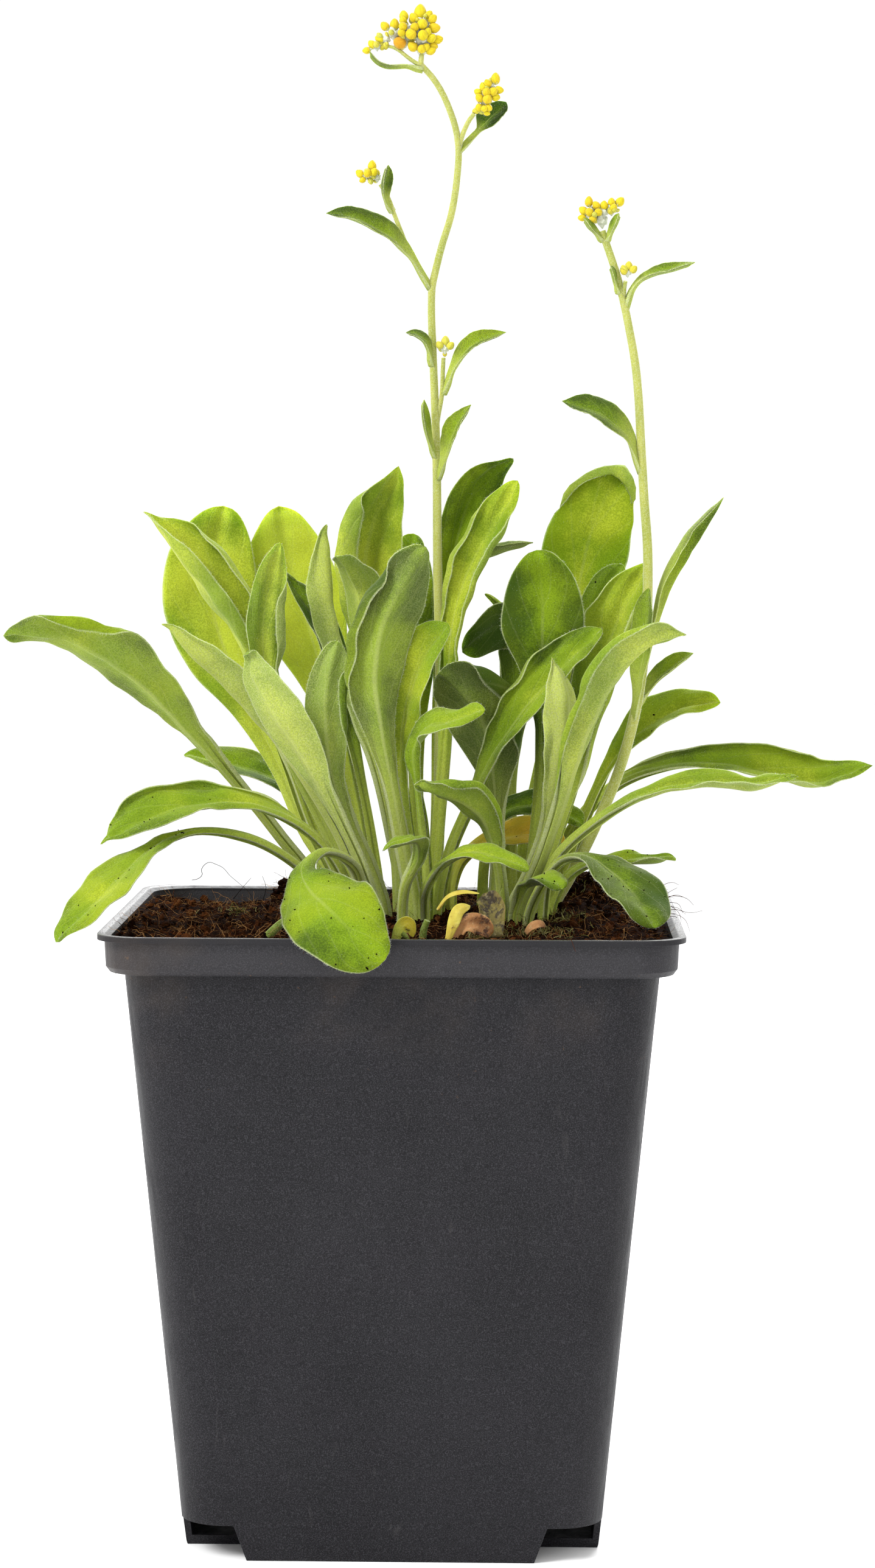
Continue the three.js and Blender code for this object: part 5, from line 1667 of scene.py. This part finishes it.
# %% Flowering stems
STEM_PATHS = {
    # for each branch its points, its first and last radius and its steps
    "flower_stem_centre": [
        ([(6, 6.5, 94.6), (6, 6.5, 98.3), (6.3, 9, 117), (6.3, 12, 137), (5.8, 14, 154.5),
          (5.6, 13.8, 170.5), (5.2, 13, 182.8), (4.9, 12, 189.9), (4.7, 11, 196.9), (4.8, 10.3, 199.6),
          (5.4, 10, 202.4), (6.5, 9, 206.6), (7.8, 8, 210.7), (8.9, 7, 217.6), (9.1, 6, 221.4),
          (8.7, 5, 224.4), (7.7, 4.4, 227.5), (6.5, 4, 230.2), (5, 3, 232.5), (3, 2, 234.6)], 0.92, 0.5, 110),
        ([(4.7, 10.4, 199.6), (2.8, 9.7, 202.4), (1.4, 9.2, 204.5), (-0.3, 8.3, 208.6), (-1.4, 7.8, 211.4),
          (-2.1, 7.3, 213.4), (-2.9, 7, 214.9), (-3.6, 7, 215.9)], 0.46, 0.32, 30),
        ([(9.1, 6, 221.6), (9.5, 5.4, 223.1), (10, 4.8, 224.4), (10.9, 4.2, 226.1), (11.6, 4, 227)],
         0.44, 0.36, 16),
        ([(5.6, 13.8, 170), (5.7, 13.6, 178.1), (6.4, 12.6, 182.1), (6.6, 11.4, 186.3), (6.7, 11, 188.2)],
         0.5, 0.34, 26),
        ([(3.4, 2, 234.2), (1.8, 1.8, 235.1), (0.8, 1.6, 235.8), (-0.5, 1.6, 236.8), (-1.5, 1.8, 237.3),
          (-2.7, 2, 237.5), (-4.1, 2, 237.3)], 0.36, 0.24, 20),
        ([(3, 2, 234.4), (3.2, 2, 236.4), (3.6, 2, 239)], 0.46, 0.3, 8),
    ],
    "flower_stem_right": [
        ([(25, 3, 95), (25, 3, 98.6), (27.5, 3, 103.5), (31.5, 3.5, 111.5), (35, 4, 119.5), (38, 3, 130),
          (39.5, 2.5, 140), (40, 1.5, 150.5), (39.9, 1.2, 157.5), (39.3, 0.5, 164.9), (38.6, -0.8, 175.2),
          (38.2, -1.6, 181.3), (37.7, -2.2, 186.1), (36.5, -3, 192.7), (35.5, -3.5, 197.2),
          (34.6, -3.8, 200.5), (33.4, -4, 204.1), (32.1, -4, 207.7)], 0.98, 0.6, 100),
        ([(35.6, -3.5, 197), (35.7, -4.1, 198.7), (35.9, -4.5, 199.8)], 0.44, 0.32, 10),
    ],
}
for node, paths in STEM_PATHS.items():
    axis = tubes(node.replace("flower_", "") + "_axis", paths, stem_felt, 4)
    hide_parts(node)

# %% [markdown]
# Green stubs are left where leaves were pulled off. They are short thick tubes, so they are made as the
# stems are, and one longer stalk lies over the peat at the left.

# %% Stubs
STUBS = [([(-19.6, -33, 97.2), (-17.8, -31.6, 99), (-15.4, -30, 100.6), (-13.6, -28, 100.8)], 0.75, 0.55, 14),
         ([(4.6, -32.6, 97), (4.9, -32.8, 99), (5.4, -33, 100.3)], 0.65, 0.5, 8),
         ([(2.6, -37.4, 97), (2.2, -37.8, 98.2), (1.6, -38.2, 98.9)], 0.6, 0.4, 8),
         ([(-1.4, -36, 97), (-1.9, -36.2, 98.4), (-2.9, -36.6, 99.1)], 0.5, 0.35, 8)]
stubs = tubes("leaf_stubs", STUBS, stub_green, 3)

# %% [markdown]
# The leaves of the stems are small and pointed, narrow at the foot, and most stand where a branch leaves
# the stem. Each one is given by its path, the side it faces and its width, as in the solid model.

# %% Stem leaves
STEM_LEAVES = [
    # path, face, width, fold, tip, tone and, if not 0.1, where the blade starts
    ([(4.7, 10.4, 199.4), (2.7, 8.6, 202.5), (0, 7, 205.7), (-4.1, 5.6, 208.8), (-7.9, 4.8, 210.5),
      (-12.2, 4.4, 211.1)], (-0.2, -0.6, 0.8), 5, 25, 0.8, (0.22, 0.2, 0.5)),
    ([(-1.5, 7.8, 211.6), (-2.6, 6.6, 213.5), (-2.9, 6, 215.6), (-2.6, 5.6, 217.3), (-2.2, 5.4, 218.9)],
     (0.8, -0.5, 0.2), 3.2, 25, 0.6, (0.2, 0.2, 0.4)),
    ([(9.1, 6, 221.2), (10.7, 6.4, 222.9), (12.1, 7, 224.4), (13.6, 7.4, 226), (16.7, 8, 229.3)],
     (-0.3, -0.8, 0.5), 5.2, 15, 0.5, (-0.05, 0.0, 0.3), 0.42),
    ([(6.5, 12.3, 182.4), (8.5, 10.6, 186.6), (9.9, 10, 188.7), (12.1, 9.4, 190.5), (14.5, 9, 191.5),
      (16.9, 9, 192.3)], (-0.4, -0.6, 0.6), 4, 30, 0.9, (0.25, 0.3, 0.5)),
    ([(5, 12.3, 187), (4.3, 10.8, 189.4), (3.5, 10, 191.1), (2.2, 9.4, 191.9), (0.6, 9, 192.2)],
     (0.5, -0.5, 0.7), 2.8, 25, 0.9, (0.3, 0.3, 0.6)),
    ([(5.7, 13.6, 168.5), (7.2, 11.6, 172.5), (8.9, 10.6, 177), (11.2, 10.4, 180.6)],
     (-0.7, -0.6, 0.4), 4.6, 25, 0.8, (0.25, 0.3, 0.5)),
    ([(5.6, 13.6, 172), (4.2, 11.8, 175.5), (3.6, 11, 178.4), (3.6, 11, 181.4)],
     (0.8, -0.5, 0.3), 2.6, 25, 0.8, (0.3, 0.3, 0.5)),
    ([(6, 14, 150), (9, 14.5, 153.4), (14, 14.5, 156.2), (21.5, 13, 158.2)],
     (-0.3, 0, 0.95), 4.6, 25, 0.8, (0.2, 0.2, 0.7)),
    ([(3.4, 2.2, 234), (0.8, 1.7, 234.4), (-1.3, 1.4, 234.2), (-2.7, 1, 234.3), (-3.9, 1, 234.9),
      (-5.1, 1, 236.6)], (0.3, 0, 0.9), 2.2, 20, 0.8, (0.2, 0.2, 0.4)),
    ([(39.3, 2.3, 137), (40.8, 3, 144), (42.2, 3.6, 151), (46, 4.2, 158.5), (52.3, 4.5, 165.6)],
     (0.8, -0.3, 0.2), 4.4, 40, 0.9, (0.35, 0.35, 0.6)),
    ([(37.7, 3, 129), (38.4, 0.6, 134), (39.2, -0.8, 141), (40, -1.4, 151)],
     (-0.7, -0.7, 0.2), 5, 20, 0.5, (0.3, 0.2, 0.8)),
    ([(38.2, 3.2, 131.6), (41, 4.8, 135.2), (44, 5, 138), (47.6, 5, 140.4)],
     (-0.3, -0.5, 0.8), 4.5, 28, 0.8, (0.35, 0.3, 0.6)),
    ([(38.9, 0, 169.4), (37.7, -0.9, 172.5), (36.6, -1.6, 174.6), (32.6, -3.2, 178.3), (30.2, -3.6, 179.4),
      (25.9, -4, 180.8)], (0.4, -0.7, 0.6), 6, 26, 0.9, (0.3, 0.25, 0.5)),
    ([(35.8, -3.3, 195.6), (36.7, -3.9, 198.2), (38.2, -4.4, 199.9), (40.3, -4.8, 200.9), (42.4, -5, 201.5),
      (46.9, -5, 202.8)], (-0.3, -0.4, 0.9), 3, 26, 0.9, (0.35, 0.3, 0.6)),
    ([(35.1, -3.6, 198), (34.1, -4.9, 200.4), (33.6, -5.4, 202.2)],
     (0.7, -0.4, 0.5), 2, 20, 0.5, (0.4, 0.4, 0.5)),
    ([(32.4, -4, 206.4), (31, -5, 207.5), (30, -5.9, 208.3), (29.2, -6.4, 209.6)],
     (0.5, -0.6, 0.6), 2.4, 30, 0.5, (0.4, 0.4, 0.7)),
    ([(32.6, -4, 206.2), (33.6, -4.9, 207.6), (34.3, -5.6, 208.9), (34.7, -6, 210.4)],
     (-0.6, -0.5, 0.5), 2.2, 30, 0.5, (0.4, 0.4, 0.7)),
]
stem_leaves = []
for number, (path, face, width, fold, tip, tone, *start) in enumerate(STEM_LEAVES):
    rows = rows_along(path, face, width, start=start[0] if start else 0.1, fold=fold, tip=tip)
    blade, thing = small_blade(f"stem_leaf_{number:02d}", rows, [upper_leaf, under_leaf], tone, number * 1.3)
    stem_leaves.append(blade)
print("stem leaves", len(stem_leaves))

# %% [markdown]
# The heads are crowded with buds, each a small yellow egg on a short woolly stalk. The bud's own UV map
# runs from foot to tip, which places the pale woolly cup below, and darker lines of painted shade where the
# petals overlap. Petals made as separate sheets would not show at this size, so the creases are painted
# shade in the colour and a little bump.

# %% Bud finish
# six petals round the bud, half a wave of the sine for each
PETAL_TURN = 18.85
BUD_GRAIN = 2600


def bud_finish():
    material, tree, shader, place = new_material(
        "bud_petals", 0.65, Sheen_Weight=0.1, Subsurface_Weight=0.35, Subsurface_Radius=(0.9, 0.9, 0.1),
        Subsurface_Scale=0.0007, Specular_IOR_Level=0.3)
    spot = place.outputs["Object"]
    split = add(tree, "ShaderNodeSeparateXYZ", {"Vector": place.outputs["UV"]})
    height = split.outputs["Y"]
    tone = stored_tone(tree)
    fine = grain(tree, spot, BUD_GRAIN, 3, 0.7)
    base = mix(tree, tone["Red"], colour(242, 224, 4), colour(238, 172, 6))
    base = mix(tree, tone["Green"], base, colour(214, 218, 92))
    base = mix(tree, step(tree, fine, 0.42, 0.66, 0.0, 0.2), base, colour(222, 200, 2))
    # painted shade: darker lines in the creases where the petals overlap
    around = calc(tree, "MULTIPLY", split.outputs["X"], PETAL_TURN)
    turned = calc(tree, "ADD", around, calc(tree, "MULTIPLY", height, 3.5))
    petals = calc(tree, "ABSOLUTE", calc(tree, "SINE", turned))
    fold = calc(tree, "MULTIPLY", step(tree, petals, 0.22, 0.02), step(tree, height, 0.35, 0.7))
    base = mix(tree, calc(tree, "MULTIPLY", fold, 0.5), base, colour(200, 154, 4))
    # painted shade: a darker amber where the bud turns away from view, round its outline
    edge = add(tree, "ShaderNodeLayerWeight", {"Blend": 0.4}).outputs["Facing"]
    base = mix(tree, step(tree, edge, 0.35, 0.9, 0.0, 0.55), base, colour(206, 160, 6))
    cup = calc(tree, "ADD", height, calc(tree, "MULTIPLY", petals, 0.14))
    wool = mix(tree, step(tree, fine, 0.35, 0.65), colour(216, 218, 120), colour(244, 246, 206))
    base = mix(tree, step(tree, cup, 0.4, 0.24), base, wool)
    tree.links.new(base, shader.inputs["Base Color"])
    bump(tree, shader, calc(tree, "ADD", petals, fine), 0.5, 0.0001)
    return material


bud_petals = bud_finish()
print("bud finish nodes", len(bud_petals.node_tree.nodes))

# %% [markdown]
# A head could be scattered at random over a ball, but its outline against the white is what the eye knows
# it by. So every bud that shows is set where the solid model has one: right, back and up from the
# foot of the head, with its radius. The cores are the woolly lumps that the buds grow from.

# %% Bud heads
HEADS = {
    # where the head sits, whether it is pale, its core balls and its buds: right, back, up, radius
    "buds_top": (
        (2.9, 2, 235.5), 0.0,
        [(0.2, 0, 1.3, 1.2), (0.5, 0, 3, 2.1), (0.2, 0, 5.2, 2), (-2.3, 0, 4.3, 2), (-2.4, 0, 2.6, 1.1),
         (-4.2, 0, 4, 1.4), (-5.5, 0, 3.2, 1.2), (-6.9, 0, 2, 1)],
        [(0, 0, 7.2, 1.15), (-2.6, -0.3, 6.7, 0.85), (-2.7, -0.7, 6, 0.7), (-4.1, 0, 5.4, 0.85),
         (-5.6, 0, 5.1, 0.8), (-6.4, 0, 3.1, 0.8), (-7.6, 0, 2.2, 0.75), (-8.5, 0, 1.3, 0.65),
         (-0.9, -0.4, 6.3, 0.9), (1.3, -0.2, 6.7, 0.85), (1.9, -0.5, 6.2, 0.85), (2.2, -0.6, 4.8, 0.95),
         (0.4, -1.7, 5.3, 0.95), (-2.7, -1.7, 4.9, 0.8), (-2.9, -1.6, 3.9, 0.75), (-1.4, -1.9, 3.7, 1),
         (-0.8, -1.9, 4.8, 0.8), (0.5, -2, 3.5, 0.95), (1.2, -1.5, 4, 0.75), (1.8, -1.2, 3.1, 0.85),
         (2.8, -0.4, 3, 0.85), (-3.2, -0.9, 2.4, 1.1), (-1.1, -0.8, 1.8, 0.9), (0.3, -1.2, 1.4, 0.8),
         (1.7, -0.7, 1.2, 0.8), (2.1, -0.5, 2, 0.75), (1, -1.1, 1.7, 0.7)]),
    "buds_upper_right": (
        (11.7, 4, 227.3), 0.0,
        [(0.7, 0, 0.8, 0.9), (1.5, 0, 1.7, 1.1), (1.9, 0, 3, 1.3), (2.5, 0, 4.2, 1)],
        [(3.3, 0, 5.2, 0.85), (1.4, -0.3, 3.9, 0.75), (2.1, -0.5, 4.4, 0.75), (3.8, 0, 3.5, 0.75),
         (0.6, 0, 3.1, 0.7), (0.8, -0.6, 2.1, 0.75), (2, -1, 1.9, 0.85), (3.3, -0.4, 2.3, 0.75),
         (0.7, -0.4, 0.6, 0.7), (1.5, -0.8, 0.4, 0.6), (2.2, -0.6, 0.6, 0.65), (1.9, -0.3, -0.2, 0.55),
         (2.9, -0.9, 3.1, 0.8), (1.9, -1.1, 3, 0.8)]),
    "buds_left": (
        (-3.6, 7, 216.1), 0.0,
        [(-0.5, 0, 0.9, 0.9), (-1.6, 0, 1.3, 1.1), (-2.3, 0, 1.3, 0.9)],
        [(-1.3, -0.2, 2.7, 0.8), (-3.2, 0, 1.5, 0.75), (-2, -0.9, 1.5, 0.75), (-1, -0.7, 1.7, 0.75),
         (-2.8, -0.3, 0.5, 0.55)]),
    "buds_small_pale": (
        (6.7, 11, 188.5), 0.8,
        [(0.2, 0, 1.2, 1.1)],
        [(0.3, 0, 2.3, 0.8), (-0.6, -0.5, 1.7, 0.7), (1.1, -0.5, 1.6, 0.7)]),
    "buds_right": (
        (32.1, -4, 207.9), 0.0,
        [(0, 0, 1.4, 1.4), (-1.5, 0, 2.4, 1.3), (0.2, 0, 2.9, 1.3), (1.5, 0, 3.2, 1.2)],
        [(-2.1, 0, 4.4, 0.75), (0.3, -0.4, 3.8, 0.75), (2.8, 0, 4.4, 0.8), (1.8, -0.8, 3.4, 0.7),
         (1.5, -0.3, 4.3, 0.7), (-0.9, -0.6, 3.8, 0.7), (-2.9, 0, 3, 0.75), (-3.1, 0, 1.9, 0.65),
         (-2, -1, 2.7, 0.75), (-0.6, -1.1, 2.7, 0.7), (-1.5, -0.9, 1.6, 0.7)]),
    "buds_right_small": (
        (35.9, -4.5, 200.1), 0.8,
        [(0.3, 0, 1.1, 1)],
        [(0.5, 0, 2, 0.7), (-0.2, -0.4, 1.5, 0.7), (1.2, -0.4, 1.5, 0.7)]),
}
print("heads", len(HEADS), "buds set by hand", sum(len(head[3]) for head in HEADS.values()))

# %% [markdown]
# A bud is a ball whose upper half is narrowed and drawn out to a blunt tip, and its stalk is a short cone.
# Both are templates with few faces, because the heads have dozens of them.

# %% Templates for buds
TIP_NARROW = 0.26
TIP_RISE = 1.18


def bud():
    """An egg of radius one around the origin, its blunt tip up."""
    bm = bmesh.new()
    bm.loops.layers.uv.new("UVMap")
    bmesh.ops.create_uvsphere(bm, u_segments=14, v_segments=10, radius=1.0, calc_uvs=True)
    for point in bm.verts:
        if point.co.z > 0:
            narrow = 1 - TIP_NARROW * point.co.z**2
            point.co.x *= narrow
            point.co.y *= narrow
            point.co.z *= TIP_RISE
    return bm


def pedicel():
    bm = bmesh.new()
    bmesh.ops.create_cone(bm, segments=6, radius1=1.0, radius2=0.75, depth=1.0, cap_ends=False)
    bmesh.ops.translate(bm, verts=bm.verts, vec=(0, 0, 0.5))
    return bm


sample = bud()
print("faces of one bud", len(sample.faces))
sample.free()

# %% [markdown]
# The photograph shows a head from one side only. Buds that stand well in front get a twin at the back, and
# small green ones fill the gaps round each core. Each bud leans away from the core that it grows from.

# %% Spread the buds
# buds at least this far in front have a twin at the back, in mm
TWIN_FROM = -0.9


def spread_buds(at, cores, buds, pale, orange, draw):
    """Places, directions, radii and tones of all buds of a head, and the core that each one grows from."""
    at = np.array(at, float)
    cores = np.array(cores, float)
    given = np.array(buds, float)
    twins = given[given[:, 1] <= TWIN_FROM] * (1, -1, 1, 1)
    tones = [(draw.uniform(0, 0.3), pale * draw.uniform(0.5, 1), 0) for _ in given]
    if orange is not None:
        tones[orange] = (1.0, 0.0, 0)
    tones += [(draw.uniform(0, 0.2), pale, 0) for _ in twins]
    fill = []
    for core in cores:
        for _ in range(int(2 + core[3] * 2)):
            way = draw.normal(0, 1, 3) + (0, 0, 0.25)
            way /= np.linalg.norm(way)
            fill.append((*(core[:3] + way * core[3] * draw.uniform(0.75, 0.98)), draw.uniform(0.34, 0.62)))
            tones.append((draw.uniform(0, 0.15), draw.uniform(0.3, 1), 0))
    every = np.concatenate([given, twins, np.array(fill)])
    nearest = np.argmin(np.linalg.norm(every[:, None, :3] - cores[None, :, :3], axis=2), axis=1)
    way = every[:, :3] - cores[nearest, :3] + (0, 0, 0.5)
    return every[:, :3] + at, way, every[:, 3], np.array(tones), cores[nearest, :3] + at


front_buds = [bud_place for head in HEADS.values() for bud_place in head[3] if bud_place[1] <= TWIN_FROM]
print("buds with a twin at the back", len(front_buds))

# %% [markdown]
# All buds of a head are one piece, which takes the place of its solid. The stalks, the cores and the wool
# of all heads are one piece each. Wool grows on the lower half of a bud only.

# %% Build the heads
ORANGE_BUD = 21
CORE_SHARE = 0.62
BUD_HAIRS = 26
PEDICEL_RADIUS = 0.3


def build_heads():
    draw = np.random.default_rng(SEED + 5)
    stalks, lumps, fluff = [], [], []
    for node, (at, pale, cores, buds) in HEADS.items():
        orange = ORANGE_BUD if node == "buds_top" else None
        places, ways, radii, tones, feet = spread_buds(at, cores, buds, pale, orange, draw)
        total = len(places)
        lengths = radii * draw.uniform(0.98, 1.08, total)
        lengths[0] *= 1.1
        ways[0] = (0.05, 0, 1)
        spins = any_way(draw, total)
        head = repeat(node.replace("buds_", "flower_buds_"), bud(),
                      stand(places * MM, ways, radii * 0.9 * MM, lengths * 0.96 * MM, spins),
                      bud_petals, tones)
        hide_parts(node)
        reach = places - feet
        stalks.append(stand(feet * MM, reach, np.full(total, PEDICEL_RADIUS * MM),
                            np.linalg.norm(reach, axis=1) * MM, spins))
        for x, y, z, radius in cores:
            centre = np.array(at) + (x, y, z)
            size = radius * CORE_SHARE * MM
            lumps.append(stand(centre[None] * MM, np.array([[0, 0, 1.0]]), [size], [size],
                               np.array([[1.0, 0, 0]])))
        for place, way, radius in zip(places, ways, radii):
            aims = unit(any_way(draw, BUD_HAIRS))
            along = way / np.linalg.norm(way)
            aims = aims[aims @ along < 0.1]
            fluff.append(np.c_[place + aims * radius * 0.9, aims - along * 0.4])
    stems = repeat("bud_pedicels", pedicel(), np.concatenate(stalks), wool_felt)
    core = repeat("bud_cores", crumb(3, 4.4), np.concatenate(lumps), wool_felt)
    fluff = np.concatenate(fluff)
    count = len(fluff)
    matrices = stand(fluff[:, :3] * MM, fluff[:, 3:], np.full(count, HAIR_RADIUS * MM),
                     draw.uniform(0.2, 0.42, count) * MM, any_way(draw, count))
    repeat("bud_wool", spike(), matrices, wool_felt)


build_heads()

# %% [markdown]
# Fuzz stands off the stems and off the faces of the blades too. It is shorter than the wool of the margins
# and sparse, so it only shows at an outline or in side light. It is made of slim cones as well.

# %% Fuzz on the stems
FUZZ = 0.26
# hairs on each mm of stem
STEM_FUZZ = 62
STEM_STEPS = 400


def stem_fuzz(draw):
    places, directions = [], []
    for paths in STEM_PATHS.values():
        for points, first, last, _ in paths:
            line = follow(points, STEM_STEPS)
            travelled = distances(line)
            ahead = unit(np.gradient(line, axis=0))
            count = int(travelled[-1] * STEM_FUZZ)
            pick = np.searchsorted(travelled, draw.uniform(0, travelled[-1], count)).clip(0, STEM_STEPS - 1)
            out = unit(np.cross(ahead[pick], any_way(draw, count)))
            radius = (first + (last - first) * pick / (STEM_STEPS - 1))[:, None]
            places.append(line[pick] + out * radius * 0.97)
            directions.append(out + ahead[pick] * draw.normal(0.2, 0.5, (count, 1)))
    return np.concatenate(places) * MM, np.concatenate(directions)


def add_fuzz(name, places, directions, draw, slot):
    count = len(places)
    matrices = stand(places, directions, np.full(count, HAIR_RADIUS * 0.8 * MM),
                     draw.uniform(0.5, 1.2, count) * FUZZ * MM, any_way(draw, count))
    repeat(name, spike(), matrices, wool_felt)


fuzz_draw = np.random.default_rng(SEED + 6)
add_fuzz("stem_fuzz", *stem_fuzz(fuzz_draw), fuzz_draw, "stem")

# %% [markdown]
# On the blades the hairs are shared out by size, and both faces carry them. Each one stands at a random
# place in a random cell of the grid and leans towards the tip of its leaf.

# %% Fuzz on the blades
# hairs on all blades together
BLADE_FUZZ = 46000


def blade_fuzz(draw, blades, total):
    """Places and directions on both faces of the blades, more on the larger ones."""
    sizes = np.array([blade.length * np.linalg.norm(blade.points[:, -1] - blade.points[:, 0], axis=1).mean()
                      for blade in blades])
    places, directions = [], []
    for blade, count in zip(blades, (sizes / sizes.sum() * total).astype(int)):
        up = blade.normals()
        row = draw.integers(2, len(blade.along) - 3, count)
        column = draw.integers(0, blade.columns, count)
        share = draw.uniform(0, 1, (count, 2, 1))
        near, far = blade.points[row, column], blade.points[row + 1, column + 1]
        side = blade.points[row, column + 1]
        spot = near + (side - near) * share[:, 0] + (far - side) * share[:, 1]
        face = np.where(draw.uniform(0, 1, count) < 0.5, 1, -1)[:, None]
        deep = blade.thickness()[row, column][:, None] * STALK_THICK * MM
        normal = up[row, column]
        onward = unit(far - side)
        places.append(spot - np.where(face < 0, normal * deep * 0.95, 0))
        directions.append(normal * face + onward * draw.uniform(0.2, 1.2, (count, 1))
                          + draw.normal(0, 0.3, (count, 3)))
    return np.concatenate(places), np.concatenate(directions)


all_blades = list(leaves.values()) + stem_leaves
add_fuzz("blade_fuzz", *blade_fuzz(fuzz_draw, all_blades, BLADE_FUZZ), fuzz_draw, "leaf")

# %% [markdown]
# Watering splashes crumbs of peat onto the low leaves. They are the same crumbs as below, only much
# smaller.

# %% Specks of peat
SPECKS = {
    "leaf_front_hanging": 16, "leaf_left_hanging": 14, "leaf_left_arch": 8, "leaf_front_right_droop": 18,
    "leaf_right_cup": 5, "leaf_right_mid": 3, "leaf_right_small": 8, "leaf_dark_oblong": 4,
    "leaf_right_low": 3, "leaf_front_right_arch": 3, "leaf_back_right": 3, "leaf_yellowing": 5,
}


def add_specks():
    draw = np.random.default_rng(SEED + 8)
    places, directions = [], []
    for name, count in SPECKS.items():
        blade = leaves[name]
        up = blade.normals()
        row = draw.integers(int(len(blade.along) * 0.45), len(blade.along) - 4, count)
        column = draw.integers(1, blade.columns, count)
        places.append(blade.points[row, column] + up[row, column] * 0.03 * MM)
        directions.append(any_way(draw, count))
    places = np.concatenate(places)
    count = len(places)
    sizes = draw.uniform(0.05, 0.14, count) * MM
    matrices = stand(places, np.concatenate(directions), sizes, sizes * draw.uniform(0.8, 2.6, count),
                     any_way(draw, count))
    repeat("peat_specks", crumb(1, 3.3), matrices, peat_dark)


add_specks()
